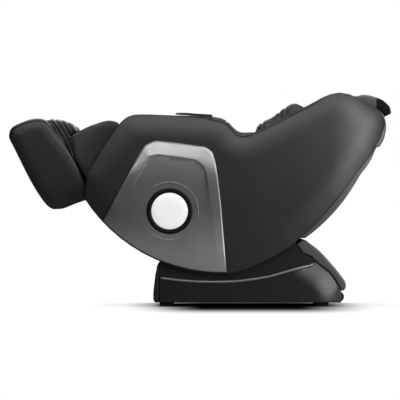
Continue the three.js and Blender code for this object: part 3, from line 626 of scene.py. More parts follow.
def turned(profile, centre, steps=96):
    """(radius, y) pairs turned about an axis across the chair, through centre."""
    mesh = bmesh.new()
    verts = [mesh.verts.new((centre.x + r, y, centre.z)) for r, y in profile]
    edges = [mesh.edges.new(pair) for pair in zip(verts, verts[1:])]
    bmesh.ops.spin(mesh, geom=[*verts, *edges], cent=(centre.x, 0, centre.z), axis=ACROSS, angle=math.tau,
                   steps=steps, use_merge=True, use_duplicate=False)
    bmesh.ops.remove_doubles(mesh, verts=mesh.verts, dist=1e-6)
    bmesh.ops.recalc_face_normals(mesh, faces=mesh.faces)
    return mesh


def tube(mesh, rings):
    """Joins rings of points, and closes the two ends."""
    for ring, following in zip(rings, rings[1:]):
        for i in range(len(ring)):
            j = (i + 1) % len(ring)
            mesh.faces.new((ring[i], ring[j], following[j], following[i]))
    mesh.faces.new(rings[0])
    mesh.faces.new(rings[-1])


def rope(line, across, out, levels, sides=12):
    """A rounded bead along (x, z) points, centred on Y = levels there. Its half-widths are across and out."""
    ways = np.diff(line, axis=0)
    ways = np.vstack([ways[:1], ways[1:] + ways[:-1], ways[-1:]])
    ways /= np.linalg.norm(ways, axis=1)[:, None]
    mesh = bmesh.new()
    rings = []
    for i, ((x, z), (dx, dz), y) in enumerate(zip(line, ways, levels)):
        taper = min(1.0, 0.3 + 0.35 * min(i, len(line) - 1 - i))
        rings.append([mesh.verts.new((x - dz * across * taper * math.cos(a), y + out * taper * math.sin(a),
                                      z + dx * across * taper * math.cos(a)))
                      for a in np.arange(sides) * math.tau / sides])
    tube(mesh, rings)
    bmesh.ops.recalc_face_normals(mesh, faces=mesh.faces)
    return mesh


def moved_in(line, distance):
    """A closed outline drawn in by a distance."""
    ways = np.roll(line, -1, axis=0) - np.roll(line, 1, axis=0)
    ways /= np.linalg.norm(ways, axis=1)[:, None]
    return line + np.stack([-ways[:, 1], ways[:, 0]], 1) * distance


def stitches(line, level, length=0.0045, pitch=0.0068, thick=0.0006):
    """A row of short threads along (x, z) points, standing on the surface Y = level(points)."""
    steps = np.linalg.norm(np.diff(line, axis=0), axis=1)
    reached = np.concatenate([[0], np.cumsum(steps)])
    starts = np.arange(pitch, reached[-1] - pitch, pitch)
    stops = (starts[:, None] + np.array([0, 0.25, 0.75, 1]) * length).ravel()
    places = np.stack([np.interp(stops, reached, line[:, axis]) for axis in (0, 1)], 1)
    rows = np.column_stack([places, level(places)]).reshape(-1, 4, 3)
    mesh = bmesh.new()
    for row in rows:
        way = row[-1, :2] - row[0, :2]
        way /= max(np.linalg.norm(way), 1e-9)
        rings = []
        for (x, z, y), fat in zip(row, (0.4, 1, 1, 0.4)):
            rings.append([mesh.verts.new((x - way[1] * thick * fat * side, y + thick * fat * rise,
                                          z + way[0] * thick * fat * side))
                          for side, rise in ((1, 0), (0, 1), (-1, 0), (0, -1))])
        tube(mesh, rings)
    bmesh.ops.recalc_face_normals(mesh, faces=mesh.faces)
    return mesh


# ---------- side shells ----------
LINER = 0.006                         # from the shell's edge to the seam below it
BESIDE_SEAM = 0.006                   # from the seam to its row of stitches


def top_side(points):
    """1 along the upper edge of a shell, from the arm's end over the valley to the wing, and 0 elsewhere."""
    above = points[:, 1] - 0.2 - (points[:, 0] - 0.154)
    before_wing = 1 - smoothstep(points[:, 0], 0.51, 0.57)
    return smoothstep(points[:, 0], 0.02, 0.09) * smoothstep(above, 0.0, 0.04) * before_wing


@functools.cache
def shell_outline():
    return rounded(section("side_shell_right", SHELL_INNER + 0.001, bent=True), 0.007)


def shell_height(points, rim):
    """A soft slope inside the edge, a small round at the edge itself and the liner's seam."""
    size = sizes()
    groove = np.exp(-((rim - LINER) / 0.0012) ** 2) * 0.0022 * top_side(points)
    return SHELL_FACE - shoulder(rim, size.rim, size.crown) - dome(rim, 0.0028, 0.0022) - groove


def on_shell(points):
    """The Y of a shell's outer face at (x, z) points."""
    return shell_height(points, distance_to(shell_outline(), points)) - bend(points[:, 0])


class MASSAGE_CHAIR_OT_shells(bpy.types.Operator):
    """Side shells: crowned leather covers with a rounded rim and a stitched seam"""
    bl_idname = "massage_chair.shells"
    bl_label = "Side shells"

    def execute(self, context):
        rings = (0.0005, 0.0009, 0.0014, 0.0012, *[0.001] * 4, 0.003, 0.005, 0.006, 0.008, 0.009, 0.009)
        mesh = bend_in(relief(shell_outline(), SHELL_INNER, shell_height, rings, 0.011))
        settle_pair(mesh, "side_cover", "shell_leather", "cradle", nodes=("side_shell",))
        seam = moved_in(shell_outline(), LINER + BESIDE_SEAM)
        upper = top_side(seam) > 0.9
        start = next(i for i in range(len(seam)) if upper[i] and not upper[i - 1])
        seam = np.roll(seam, -start, axis=0)[:np.count_nonzero(upper)]
        rows = stitches(seam, on_shell)
        settle_pair(rows, "shell_stitches", "thread", "cradle")
        return {"FINISHED"}


# ---------- silver panels and lamps ----------
class MASSAGE_CHAIR_OT_panels(bpy.types.Operator):
    """Silver side panels with their sunk field, embossed ring and round lamp"""
    bl_idname = "massage_chair.panels"
    bl_label = "Side panels and lamps"

    def execute(self, context):
        low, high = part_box("side_panel_right")
        outline = rounded(section("side_panel_right", low.y + 0.001), 0.006)
        crest = rounded(section("side_panel_right", high.y - 0.0004), 0.006)
        field = high.y - 0.003

        def lower(points):
            """How far the shell under the panel has fallen away towards its lower edge."""
            return shoulder(distance_to(shell_outline(), points), sizes().rim, sizes().crown)

        def height(points, rim):
            """A sloping band up to the crest, then a step down to the field. Both soften towards the bottom."""
            from_crest = distance_to(crest, points)
            inside = contains(crest, points)
            share = np.clip(rim / np.maximum(rim + from_crest, 1e-6), 0, 1)
            steep = 0.12 + 0.88 * smoothstep(points[:, 1], 0.6, 0.71)
            band = (high.y - low.y - 0.0025) * steep * (1 - share)
            upper = smoothstep(points[:, 1], 0.36, 0.6)
            sunk = (high.y - field) * (0.3 + 0.7 * upper) * (0.4 + 0.6 * smoothstep(points[:, 0], -0.3, -0.22))
            step = sunk * smoothstep(from_crest, 0.001, 0.0055 + 0.03 * (1 - upper))
            return high.y - np.where(inside, step, band) - dome(rim, 0.002, 0.0012) - lower(points)
        mesh = panel_mesh(outline, crest, lambda points: low.y - lower(points[:, ::2]), height)
        settle_pair(to_object(mesh, "silver_cover", math.radians(50)), "silver_cover", "silver_panel", "cradle",
                    nodes=("side_panel",))
        self.lamp(field)
        return {"FINISHED"}

    def lamp(self, field):
        low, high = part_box("lamp_ring_right")
        centre = (low + high) / 2
        outer = (high.x - low.x) / 2
        inner = (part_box("lamp_disc_right")[1].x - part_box("lamp_disc_right")[0].x) / 2
        top = high.y
        ring = turned([(inner + 0.0006, low.y), (outer, low.y), (outer, low.y + 0.0035), (outer - 0.001, low.y + 0.005),
                       (outer - 0.004, top - 0.0008), (outer - 0.007, top), (inner + 0.006, top - 0.0004),
                       (inner + 0.002, top - 0.002), (inner + 0.0006, top - 0.004), (inner + 0.0006, low.y)], centre)
        settle_pair(ring, "lamp_bezel", "lamp_black", "cradle", ("lamp_ring",))
        low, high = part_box("lamp_disc_right")
        lens = turned([(0, low.y), (inner, low.y), (inner, high.y - 0.0045), (inner - 0.0012, high.y - 0.003),
                       (inner - 0.004, high.y - 0.0018), (inner * 0.6, high.y - 0.0006), (0, high.y)], centre)
        settle_pair(lens, "lamp_lens", "opal_lens", "cradle", nodes=("lamp_disc",))
        raised = 0.131                     # radius of the raised ring round the lamp
        trim = turned([(raised - 0.005, field - 0.001), (raised - 0.003, field + 0.0016), (raised, field + 0.0024),
                       (raised + 0.003, field + 0.0016), (raised + 0.005, field - 0.001),
                       (raised - 0.005, field - 0.001)], centre)
        settle_pair(trim, "lamp_surround", "silver_panel", "cradle")


def contains(outline, points):
    """Which (x, z) points lie inside a closed outline."""
    inside = np.zeros(len(points), bool)
    for (x0, z0), (x1, z1) in zip(outline, np.roll(outline, -1, axis=0)):
        crosses = (z0 > points[:, 1]) != (z1 > points[:, 1])
        with np.errstate(divide="ignore", invalid="ignore"):
            at = x0 + (points[:, 1] - z0) * (x1 - x0) / (z1 - z0)
        inside ^= crosses & (points[:, 0] < at)
    return inside


def panel_mesh(outline, crest, back, height):
    """A plate with edges along its outline and along its crest."""
    mesh = bmesh.new()
    loops = []
    for line in (outline, crest):
        verts = [mesh.verts.new((x, 0, z)) for x, z in line]
        loops.append([mesh.edges.new(pair) for pair in zip(verts, verts[1:] + verts[:1])])
    bridge = bmesh.ops.bridge_loops(mesh, edges=[*loops[0], *loops[1]])
    rim = set(loops[0]) | set(loops[1])
    rungs = [e for e in bridge["edges"] if e not in rim]
    bmesh.ops.subdivide_edges(mesh, edges=rungs, cuts=9, use_grid_fill=False)
    open_edges = [e for e in mesh.edges if e.is_boundary]
    middles = np.array([((e.verts[0].co + e.verts[1].co) / 2).xz for e in open_edges])
    hole = [e for e, gap in zip(open_edges, distance_to(outline, middles)) if gap > 0.002]
    face = bmesh.ops.edgeloop_fill(mesh, edges=hole)["faces"][0]
    ringed(mesh, face, (0.0012, 0.0012, 0.0014, 0.0016), 0.02)
    raise_relief(mesh, outline, height)
    return close_back(mesh, back)


# ---------- stuffed pads ----------
def bake(piece):
    """Replaces a piece's mesh with what its modifiers make of it."""
    shape = bpy.data.meshes.new_from_object(piece.evaluated_get(bpy.context.evaluated_depsgraph_get()))
    piece.modifiers.clear()
    piece.data = shape


def read(piece, what="co"):
    source = piece.data.vertices if what == "co" else piece.data.vertex_normals
    flat = np.empty(len(piece.data.vertices) * 3)
    source.foreach_get(what if what == "co" else "vector", flat)
    return flat.reshape(-1, 3)


def write(piece, points):
    piece.data.vertices.foreach_set("co", points.ravel())
    piece.data.update()


def even_skin(node, voxel, shrink):
    """A CAD pad as one even skin, drawn in a little so that it has room to swell."""
    mesh = merged(node)
    if node == "calf_side_pad_right":
        low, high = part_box(node)
        round_knee = Matrix.Translation((KNEE.x, (low.y + high.y) / 2, KNEE.z)) @ Matrix.Rotation(math.pi / 2, 4, "X")
        bmesh.ops.create_cone(mesh, cap_ends=True, segments=48, radius1=0.068, radius2=0.068,
                              depth=high.y - low.y - 0.004, matrix=round_knee)
    piece = to_object(mesh, f"{node}_skin")
    remesh = piece.modifiers.new("even", "REMESH")
    remesh.mode = "VOXEL"
    remesh.voxel_size = voxel
    smooth = piece.modifiers.new("soft", "SMOOTH")
    smooth.factor, smooth.iterations = 0.5, 4
    bake(piece)
    write(piece, read(piece) - read(piece, "normal") * shrink)
    return piece


PRESSURE = 4.0
FRAMES = 20


def blow_up(pieces, caps):
    """Swells the pads under pressure, all at once, and holds each point within its pad's cap of where it began.

    Points that the pressure draws inwards are held closer, so that the pads keep their outlines.
    """
    starts = [(read(piece), read(piece, "normal")) for piece in pieces]
    for piece in pieces:
        cloth = piece.modifiers.new("stuffing", "CLOTH")
        cloth.settings.use_pressure = True
        cloth.settings.uniform_pressure_force = PRESSURE
        cloth.settings.effector_weights.gravity = 0
        cloth.collision_settings.use_collision = False
    scene = bpy.context.scene
    for step in range(1, FRAMES + 1):
        scene.frame_set(step)
    for piece, cap, (start, ways) in zip(pieces, caps, starts):
        bake(piece)
        move = read(piece) - start
        reach = np.maximum(np.linalg.norm(move, axis=1), 1e-9)
        limit = cap * (0.3 + 0.7 * smoothstep((move * ways).sum(1) / reach, -0.5, 0.5))
        write(piece, start + move * np.minimum(1, limit / reach)[:, None])
    scene.frame_set(1)


def subdivided(piece):
    finer = piece.modifiers.new("finer", "SUBSURF")
    finer.levels = finer.render_levels = 1
    bake(piece)
    for face in piece.data.polygons:
        face.use_smooth = True


def sew(piece, gap, width, depth, mask=None):
    """Sinks a channel along every point whose distance from the seam, gap(points), is small."""
    points, ways = read(piece), read(piece, "normal")
    share = np.exp(-(gap(points) / width) ** 2) * (mask(points, ways) if mask else 1.0)
    write(piece, points - ways * (share * depth)[:, None])


def crumple(piece, size, depth, stretch=(1, 1, 1), mask=None):
    """Soft irregular creases, deepest where the mask is 1."""
    points, ways = read(piece), read(piece, "normal")
    share = mask(points, ways) if mask else np.ones(len(points))
    rows = points * np.array(stretch) / size
    crease = np.array([noise.ridged_multi_fractal(Vector(row), 0.9, 2.1, 3, 0.7, 2.0) for row in rows])
    write(piece, points - ways * (share * depth * (crease - 0.8))[:, None])


def faces_up(slope):
    """A mask of the points whose skin faces away from the seat, back or calf board."""
    start, way = SLOPES[slope]
    out = np.array(ACROSS.cross(way)) if way.x < 0 else -np.array(ACROSS.cross(way))
    return lambda points, ways: smoothstep(ways @ out, 0.2, 0.6)


def hold_inside(piece, node, proud=0.002):
    """Keeps a pad within its CAD solid's box, but for what the cover may stand proud."""
    low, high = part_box(node)
    write(piece, np.clip(read(piece), np.array(low) - proud, np.array(high) + proud))


SOFT = {  # CAD pad: voxel, how full it is, its share of the swell
    "seat_pad": (0.007, 0.7, 1.0), "back_pad": (0.007, 0.6, 1.0), "head_pillow": (0.006, 0.5, 0.8),
    "arm_pad_right": (0.006, 0.8, 0.5), "shoulder_wing_right": (0.006, 0.6, 0.5), "calf_pad": (0.005, 0.7, 0.6),
    "calf_side_pad_right": (0.005, 0.7, 0.4), "foot_cushion_right": (0.004, 0.6, 0.5),
}
skins = {}


class MASSAGE_CHAIR_OT_stuffing(bpy.types.Operator):
    """Blows up the skins of all the pads by a cloth simulation"""
    bl_idname = "massage_chair.stuffing"
    bl_label = "Stuff the pads"

    def execute(self, context):
        swell = sizes().swell
        for node, (voxel, fill, share) in SOFT.items():
            skins[node] = even_skin(node, voxel, swell * share * 0.3)
        blow_up(list(skins.values()), [swell * row[2] for row in SOFT.values()])
        for node, piece in skins.items():
            subdivided(piece)
            hold_inside(piece, node)
        return {"FINISHED"}


class MASSAGE_CHAIR_OT_seating(bpy.types.Operator):
    """Seat and back cushions and the head pillow, with their sewn channels"""
    bl_idname = "massage_chair.seating"
    bl_label = "Seat, back and pillow"

    def execute(self, context):
        depth = sizes().seam
        seat, back, pillow = (skins[name] for name in ("seat_pad", "back_pad", "head_pillow"))
        self.channels(seat, "seat", (0.085, 0.205), (0.06, 0.14, 0.22, 0.30, 0.38, 0.46), 0.53, depth)
        self.channels(back, "back", (0.075, 0.2), (0.1, 0.2, 0.3, 0.4, 0.5), 0.68, depth)
        for place in (-0.132, 0.132):
            sew(pillow, lambda points: points[:, 1] - place, 0.004, depth * 0.7)
        crumple(pillow, 0.09, 0.0022)
        points, ways = read(pillow), read(pillow, "normal")
        sag = 0.02 * smoothstep(points[:, 0], 0.69, 0.76) * smoothstep(-ways[:, 2], -0.3, 0.5)
        lift = 0.01 * smoothstep(points[:, 0], 0.72, 0.77) + 0.007 * smoothstep(points[:, 0], 0.8, 0.87)
        write(pillow, points - sag[:, None] * np.array((-0.2, 0, 1)) + lift[:, None] * np.array((0, 0, 1)))
        # The pillow's hanging end becomes a piece of its own in a darker leather, a painted shade. The rest takes a
        # lighter leather, a painted highlight.
        flap = self.cut(pillow, 0.82)
        settle(flap, "pillow_end_painted_shade", "cradle")
        for piece, node in ((seat, "seat_pad"), (back, "back_pad"), (pillow, "head_pillow")):
            piece.name = f"{node}_cover"
            look = "pillow_painted_highlight" if piece is pillow else "pad_leather"
            settle(piece, look, "cradle", stands_for=(node,))
        return {"FINISHED"}

    def cut(self, pillow, place):
        """Cuts the pillow across at x = place, and gives its end back as a piece of its own."""
        for data, keeps_low in ((pillow.data, True), (pillow.data.copy(), False)):
            mesh = bmesh.new()
            mesh.from_mesh(data)
            at = (place + (0 if keeps_low else 0.0006), 0, 0)
            edges = bmesh.ops.bisect_plane(mesh, geom=everything(mesh), plane_co=at, plane_no=(1, 0, 0),
                                           clear_outer=keeps_low, clear_inner=not keeps_low)["geom_cut"]
            bmesh.ops.holes_fill(mesh, edges=[e for e in edges if isinstance(e, bmesh.types.BMEdge)])
            if keeps_low:
                mesh.to_mesh(data)
                mesh.free()
        return to_object(mesh, "pillow_flap")

    def channels(self, piece, slope, lines, crosses, end, depth):
        up = faces_up(slope)
        for line in lines:
            sew(piece, lambda points: np.abs(points[:, 1]) - line, 0.006, depth, up)

        def between(points, ways):
            return up(points, ways) * (np.abs(points[:, 1]) < lines[0])
        for cross in crosses:
            sew(piece, lambda points: along(slope, points) - cross, 0.007, depth * 0.8, between)
        sew(piece, lambda points: along(slope, points) - end, 0.006, depth, up)
        crumple(piece, 0.12, 0.0018, mask=up)


class MASSAGE_CHAIR_OT_arms(bpy.types.Operator):
    """Arm pads, shoulder wings and the narrow shelf on each arm"""
    bl_idname = "massage_chair.arms"
    bl_label = "Arm pads and shoulder wings"

    def execute(self, context):
        arm, wing = skins["arm_pad_right"], skins["shoulder_wing_right"]
        low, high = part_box("arm_pad_right")
        middle = (low.y + high.y) / 2
        sew(arm, lambda points: points[:, 1] - low.y - 0.016, 0.003, 0.003)
        sew(arm, lambda points: points[:, 0] - 0.125, 0.004, 0.004)
        crumple(arm, 0.07, 0.0015)
        settle_pair(arm, "arm_cushion", "pad_leather", "cradle", nodes=("arm_pad",))
        for place, depth in ((0.288, 0.008), (0.312, 0.009), (0.4, 0.006), (0.432, 0.006), (0.53, 0.005)):
            sew(wing, lambda points: points[:, 0] * 0.97 + points[:, 2] * 0.25 - place - 0.18, 0.005, depth)
        sew(wing, lambda points: points[:, 1] - middle, 0.004, 0.003)
        crumple(wing, 0.045, 0.004, (1, 1, 1.6))
        points = read(wing)
        points[:, 2] = np.minimum(points[:, 2], 0.94 - 0.5 * np.maximum(points[:, 0] - 0.438, 0))
        write(wing, points)
        settle_pair(wing, "wing_cushion", "pad_leather", "cradle", nodes=("shoulder_wing",))
        low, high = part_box("arm_shelf_right")
        shelf = bolster(rounded(section("arm_shelf_right", (low.y + high.y) / 2), 0.004), low.y, high.y, 0.002, 0.002)
        settle_pair(shelf, "arm_rail", "gloss_black", "cradle", nodes=("arm_shelf",))
        return {"FINISHED"}


class MASSAGE_CHAIR_OT_leg_rest(bpy.types.Operator):
    """Calf rest cushions, foot box sides and foot cushions"""
    bl_idname = "massage_chair.leg_rest"
    bl_label = "Calf rest and foot box"

    def execute(self, context):
        floor, side, cushion = (skins[name] for name in ("calf_pad", "calf_side_pad_right", "foot_cushion_right"))
        crumple(floor, 0.05, 0.002)
        floor.name = "calf_cushion"
        settle(floor, "pad_leather", "calf_rest", stands_for=("calf_pad",))
        low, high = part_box("calf_side_pad_right")
        sew(side, lambda points: points[:, 1] - high.y + 0.008, 0.003, 0.002)
        crumple(side, 0.08, 0.002)
        settle_pair(side, "calf_side_cushion", "pad_leather", "calf_rest", nodes=("calf_side_pad",))
        self.fold(cushion)
        settle_pair(cushion, "foot_air_cushion", "pad_leather", "foot_box", nodes=("foot_cushion",))
        low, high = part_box("foot_side_right")
        outline = rounded(section("foot_side_right", low.y + 0.001), 0.006)
        for _ in range(10):                    # softens the corners
            outline = (np.roll(outline, 1, axis=0) + 2 * outline + np.roll(outline, -1, axis=0)) / 4

        def height(points, rim):
            return high.y - shoulder(rim, 0.06, 0.005) - dome(rim, 0.014, 0.011)
        mesh = relief(outline, low.y, height, (0.0012, 0.002, 0.003, 0.004, 0.006, 0.01, 0.015), 0.012)
        settle_pair(mesh, "foot_wall", "shell_leather", "foot_box", nodes=("foot_side",))
        self.shade_plates()
        return {"FINISHED"}

    def shade_plates(self):
        """Black plastic plates in the gaps between the side pads and the foot box walls, where there is only deep
        shade: a painted shade.
        """
        outline = np.array([(-0.612, 0.787), (-0.604, 0.745), (-0.585, 0.697), (-0.56, 0.64), (-0.545, 0.64),
                            (-0.565, 0.7), (-0.57, 0.79)])[::-1]
        plate = relief(rounded(outline, 0.006), 0.1895, lambda points, rim: 0.1985 - dome(rim, 0.003, 0.002),
                       (0.001, 0.002), 0.03)
        settle_pair(plate, "ankle_gap_shade", "black_plastic", "calf_rest")

    def fold(self, cushion):
        """Layered folds that follow the foot box's inner edge, from the sole to the shin."""
        points, ways = read(cushion), read(cushion, "normal")
        from_edge = (points[:, 0] + 0.718) * 0.818 + (points[:, 2] - 0.866) * 0.575
        down_edge = (points[:, 0] + 0.718) * 0.575 - (points[:, 2] - 0.866) * 0.818
        layer = (from_edge + 1.1 * (down_edge - 0.06) ** 2) / 0.019
        crease = 1 - np.abs(np.sin(math.pi * layer)) ** 0.6
        write(cushion, points - ways * (0.006 * crease)[:, None])
        crumple(cushion, 0.04, 0.0015)


# ---------- back and base ----------
class MASSAGE_CHAIR_OT_back(bpy.types.Operator):
    """Back cover and the leather cap over the head end"""
    bl_idname = "massage_chair.back"
    bl_label = "Back cover and head cap"

    def execute(self, context):
        half = SHELL_INNER - 0.001
        for node, name, look, width in (("back_cover", "rear_cover", "satin_grey", 0.0025),
                                        ("head_cap", "head_cover", "shell_leather", 0.003)):
            outline = section(node, 0.0)
            if node == "back_cover":
                outline = self.tuck(outline)
            mesh = bolster(rounded(outline, 0.008), -half, half, width, width)
            bend_in(mesh, lambda y: y / half)
            settle(to_object(mesh, name), look, "cradle", stands_for=(node,))
        return {"FINISHED"}

    def tuck(self, outline):
        """Draws the cover's inner side in behind the shells' edges, and fills its outer side below the head cap."""
        inner = contains(outline, outline + np.array((0.003, -0.003)))
        fuller = -0.008 * np.exp(-((outline[:, 1] - 0.668) / 0.055) ** 2)
        outline = outline + np.array((-0.76, 0.65)) * np.where(inner, 0.013, fuller)[:, None]
        outline[1] = (0.463, 0.3165)           # the lower end's inner corner, drawn on to close the gap over the hood
        return outline


class MASSAGE_CHAIR_OT_base(bpy.types.Operator):
    """Lacquered skirts with their lip, lighter than the skirt as a painted highlight, the front cover and the rear hood
    """
    bl_idname = "massage_chair.base"
    bl_label = "Base covers"

    def execute(self, context):
        self.skirts()
        low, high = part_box("base_front_cover")
        mesh = bolster(rounded(section("base_front_cover", 0.0), 0.006), low.y, high.y, 0.006, 0.012)
        settle(to_object(mesh, "front_cover"), "gloss_black", "base", stands_for=("base_front_cover",))
        low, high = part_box("base_hood")
        mesh = bolster(rounded(section("base_hood", 0.0), 0.006), low.y, high.y, 0.008, 0.010)
        settle(to_object(mesh, "rear_hood"), "satin_grey", "base", stands_for=("base_hood",))
        return {"FINISHED"}

    def skirts(self):
        low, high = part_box("base_skirt_right")
        outer = rounded(section("base_skirt_right", high.y - 0.008), 0.006)
        guard = section("base_skirt_right", low.y + 0.002)
        # The guard's upper edge is raised to the shell beside it, and its rear end drawn on to the hood.
        beside = (guard[:, 0] > 0.19) & (guard[:, 0] < 0.31) & (guard[:, 1] > 0.15)
        guard[:, 1] += np.where(beside, distance_to(shell_outline(), guard) * 1.15 + 0.002, 0) * (guard[:, 1] < 0.215)
        guard[(guard[:, 0] > 0.44) & (guard[:, 1] > 0.15)] += (0.006, 0.004)
        guard = rounded(guard, 0.006)
        upper = outer[(outer[:, 1] > 0.1) & (outer[:, 0] > low.x + 0.004)]
        upper = upper[np.argsort(upper[:, 0])]
        lip = upper[:np.argmax(upper[:, 1])]
        rear = upper[np.argmax(upper[:, 1]):]
        share = np.clip((outer[:, 0] - lip[0, 0]) / np.ptp(lip[:, 0]), 0, 1)
        crescent = 0.009 + 0.015 * np.sin(math.pi * share ** 0.9) ** 0.8
        apron = outer - np.stack([0 * share, np.where(outer[:, 1] > 0.1, crescent, 0) * (share < 1)], 1)

        def fall(points):
            from_rear = distance_to(rear, points, closed=False)
            return 0.022 * (1 - smoothstep(from_rear, -0.05, 0.12))
        rings = (0.001, 0.0015, 0.0015, 0.002, 0.002)
        mesh = relief(outer, low.y + 0.004,
                      lambda points, rim: high.y - 0.007 - fall(points) * 0.9 - dome(rim, 0.004, 0.003), rings, 0.012)
        settle_pair(mesh, "skirt", "gloss_black", "base", nodes=("base_skirt",))
        mesh = relief(rounded(apron[::2], 0.006), low.y + 0.006,
                      lambda points, rim: high.y - fall(points) - dome(rim, 0.003, 0.002), rings, 0.012)
        settle_pair(mesh, "skirt_apron", "gloss_black", "base")
        mesh = relief(guard, low.y, lambda points, rim: low.y + 0.018 - dome(rim, 0.003, 0.002), (0.001, 0.002), 0.05)
        settle_pair(mesh, "skirt_guard", "gloss_black", "base")
        # The bead along the lip takes a lighter finish than the skirt: a painted highlight.
        line = lip - (0, 0.0045)
        bead = rope(line, 0.0064, 0.0058, high.y - 0.006 - fall(line) * 0.9)
        settle_pair(bead, "skirt_lip", "lip_painted_highlight", "base")


# ---------- mechanism: every CAD node that keeps its shape ----------
NODE_LOOKS = {
    "tilt_actuator_tube": "cast_alloy", "leg_actuator_tube": "cast_alloy",
    "tilt_actuator_rod": "polished_rod", "leg_actuator_rod": "polished_rod",
    "massage_rollers_upper": "pad_roller", "massage_rollers_lower": "pad_roller",
}


def softened(node, edge=0.0008):
    """A copy of a rigid CAD node with its sharp edges broken."""
    mesh = merged(node)
    bmesh.ops.dissolve_limit(mesh, angle_limit=math.radians(1.2), verts=mesh.verts, edges=mesh.edges)
    sharp = [e for e in mesh.edges if len(e.link_faces) == 2 and e.calc_face_angle(0.0) > math.radians(40)
             and e.calc_length() > 4 * edge]
    bmesh.ops.bevel(mesh, geom=sharp, offset=edge, offset_type="OFFSET", segments=2, profile=0.5,
                    affect="EDGES", clamp_overlap=True, material=-1)
    return mesh


class MASSAGE_CHAIR_OT_mechanism(bpy.types.Operator):
    """Finishes every rigid piece that keeps its shape: frames, rails, actuators, rollers and base parts"""
    bl_idname = "massage_chair.mechanism"
    bl_label = "Frame and mechanism"

    def execute(self, context):
        groups = frame["record"]["behaviour"]["bodies"]
        body_of = {node: body for body, nodes in groups.items() for node in nodes}
        for row in frame["record"]["subparts"]:
            node = frame["nodes"][row["node"]]
            if not node.hide_render:
                piece = to_object(softened(row["node"]), f"{row['node']}_part", math.radians(30))
                settle(piece, NODE_LOOKS.get(row["node"], row["material_slot"]), body_of[row["node"]],
                       (row["node"],))
        return {"FINISHED"}


# ---------- stage ----------
SCALE = 0.0046                        # metres of the side plane in one pixel of the photograph
PHOTO_WIDTH = 400 * SCALE
SIDE_PLANE = -0.38
CAMERA_HEIGHT = 0.492
CAMERA_DISTANCE = 20.0
SENSOR = 0.036
FAR_SIDE = 2.2                        # how much sooner the shadow ends behind the chair than before it
SHADOW_EDGE = (0.19, 0.25)            # from the middle of the base, and past its skirt, the shadow begins to fade
SHADOW_FADE = (0.38, 1.1)             # and is gone after so much more, along the chair and away from it


def stage_finish():
    """Plain white to the camera, with a soft shadow painted towards -Y and deepened by ambient occlusion near the base,
    and a dull grey to everything else.
    """
    made, tree, where = blank_material("stage_floor")
    left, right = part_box("base_skirt_left"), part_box("base_skirt_right")
    # The shadow is painted: a mask that darkens the floor round the base's footprint and fades further towards -Y than
    # behind.
    side = vectors(tree, "SUBTRACT", where, ((left[0].x + right[1].x) / 2, 0, 0))
    out = vectors(tree, "MAXIMUM", vectors(tree, "MULTIPLY", side, (-1, -1, 0)),
                  vectors(tree, "MULTIPLY", side, (1, FAR_SIDE, 0)))
    edge = (SHADOW_EDGE[0], right[1].y + SHADOW_EDGE[1], 0)
    past = vectors(tree, "MAXIMUM", vectors(tree, "SUBTRACT", out, edge), (0, 0, 0))
    past = vectors(tree, "MULTIPLY", past, (1 / SHADOW_FADE[0], 1 / SHADOW_FADE[1], 0))
    far = put(tree, "VectorMath", {0: past}, operation="LENGTH").outputs["Value"]
    near = put(tree, "AmbientOcclusion", {"Distance": 0.3}, samples=8).outputs["AO"]
    deep = numbers(tree, "MULTIPLY", near, ranged(tree, far, 0.08, 1.05, 0.004))
    camera_or_rest(tree, "OutputMaterial", put(tree, "Emission", {"Strength": deep}),
                   put(tree, "BsdfDiffuse", {"Color": (0.3, 0.3, 0.3, 1)}))
    return made


def camera_or_rest(tree, output, seen, rest):
    """Shows one shader to the camera and another one to everything else."""
    ray = put(tree, "LightPath").outputs["Is Camera Ray"]
    both = put(tree, "MixShader", {0: ray, 1: rest.outputs[0], 2: seen.outputs[0]})
    put(tree, output, {"Surface": both.outputs[0]})


LIGHTS = {  # place, what it is turned to, width and height, and watts
    "overhead": ((0.2, -0.2, 3.0), (0.2, -0.1, 0.0), (4.0, 2.4), 100),
    "key": ((0.1, -3.3, 1.78), (0.1, -0.37, 0.75), (3.4, 0.6), 38),
    "head_strip": ((1.75, -2.9, 0.85), (0.78, -0.37, 0.7), (1.0, 1.3), 38),
    "rear_rim": ((3.0, 0.2, 1.7), (0.6, -0.1, 0.5), (1.4, 1.4), 60),
    "back_light": ((0.2, 3.2, 2.6), (0.2, 0, 0.7), (3.0, 1.2), 60),
}


def area_light(name, place, target, size, power):
    data = bpy.data.lights.new(name, "AREA")
    data.shape = "RECTANGLE"
    data.size, data.size_y = size
    data.energy = power
    made = bpy.data.objects.new(name, data)
    bpy.context.scene.collection.objects.link(made)
    made.location = place
    made.rotation_euler = (Vector(target) - Vector(place)).to_track_quat("-Z", "Y").to_euler()


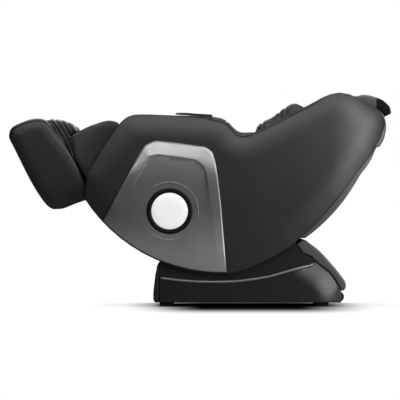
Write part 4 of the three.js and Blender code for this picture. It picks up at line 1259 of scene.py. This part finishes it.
class MASSAGE_CHAIR_OT_stage(bpy.types.Operator):
    """Camera, plain pale floor and soft studio light"""
    bl_idname = "massage_chair.stage"
    bl_label = "Stage"

    def execute(self, context):
        scene = context.scene
        scene.view_settings.view_transform = "Standard"
        lens = bpy.data.cameras.new("camera")
        lens.sensor_width = SENSOR * 1000
        lens.lens = SENSOR * 1000 * CAMERA_DISTANCE / PHOTO_WIDTH
        lens.clip_end = 100
        camera = bpy.data.objects.new("camera", lens)
        scene.collection.objects.link(camera)
        camera.location = (0, SIDE_PLANE - CAMERA_DISTANCE, CAMERA_HEIGHT)
        camera.rotation_euler = (math.pi / 2, 0, 0)
        scene.camera = camera
        self.floor()
        self.world(scene)
        for name, row in LIGHTS.items():
            area_light(name, *row)
        return {"FINISHED"}

    def floor(self):
        mesh = bmesh.new()
        bmesh.ops.create_circle(mesh, cap_ends=True, segments=96, radius=30)
        floor = to_object(mesh, "floor")
        floor.data.materials.append(stage_finish())

    def world(self, scene):
        world = bpy.data.worlds.new("studio")
        scene.world = world
        world.use_nodes = True
        tree = world.node_tree
        tree.nodes.clear()
        up = put(tree, "SeparateXYZ", {0: put(tree, "TexCoord").outputs["Generated"]}).outputs["Z"]
        sky = ranged(tree, up, -0.1, 0.9, 0.02, 0.12, "LINEAR")
        camera_or_rest(tree, "OutputWorld", put(tree, "Background", {"Color": (1, 1, 1, 1), "Strength": 1.0}),
                       put(tree, "Background", {"Color": (1, 1, 1, 1), "Strength": sky}))


# ---------- panel and registration ----------
STEPS = ["stage", "shells", "panels", "stuffing", "seating", "arms", "leg_rest", "back", "base", "mechanism"]


class MASSAGE_CHAIR_PT_sidebar(bpy.types.Panel):
    bl_idname = "MASSAGE_CHAIR_PT_sidebar"
    bl_label = "Massage chair"
    bl_space_type = "VIEW_3D"
    bl_region_type = "UI"
    bl_category = "Massage chair"

    def draw(self, context):
        for step in STEPS:
            self.layout.operator(f"massage_chair.{step}")
        for settings in (sizes(), colours()):
            for name in settings.__annotations__:
                self.layout.prop(settings, name)


CLASSES = (ChairSizes, ChairColours, MASSAGE_CHAIR_OT_stage, MASSAGE_CHAIR_OT_shells, MASSAGE_CHAIR_OT_panels,
           MASSAGE_CHAIR_OT_stuffing, MASSAGE_CHAIR_OT_seating, MASSAGE_CHAIR_OT_arms, MASSAGE_CHAIR_OT_leg_rest,
           MASSAGE_CHAIR_OT_back, MASSAGE_CHAIR_OT_base, MASSAGE_CHAIR_OT_mechanism, MASSAGE_CHAIR_PT_sidebar)


def register():
    for made in CLASSES:
        bpy.utils.register_class(made)
    bpy.types.Scene.massage_chair_sizes = PointerProperty(type=ChairSizes)
    bpy.types.Scene.massage_chair_colours = PointerProperty(type=ChairColours)


def unregister():
    del bpy.types.Scene.massage_chair_colours
    del bpy.types.Scene.massage_chair_sizes
    for made in reversed(CLASSES):
        bpy.utils.unregister_class(made)


def main():
    register()
    for step in STEPS:
        getattr(bpy.ops.massage_chair, step)()


if __name__ == "__main__":
    main()
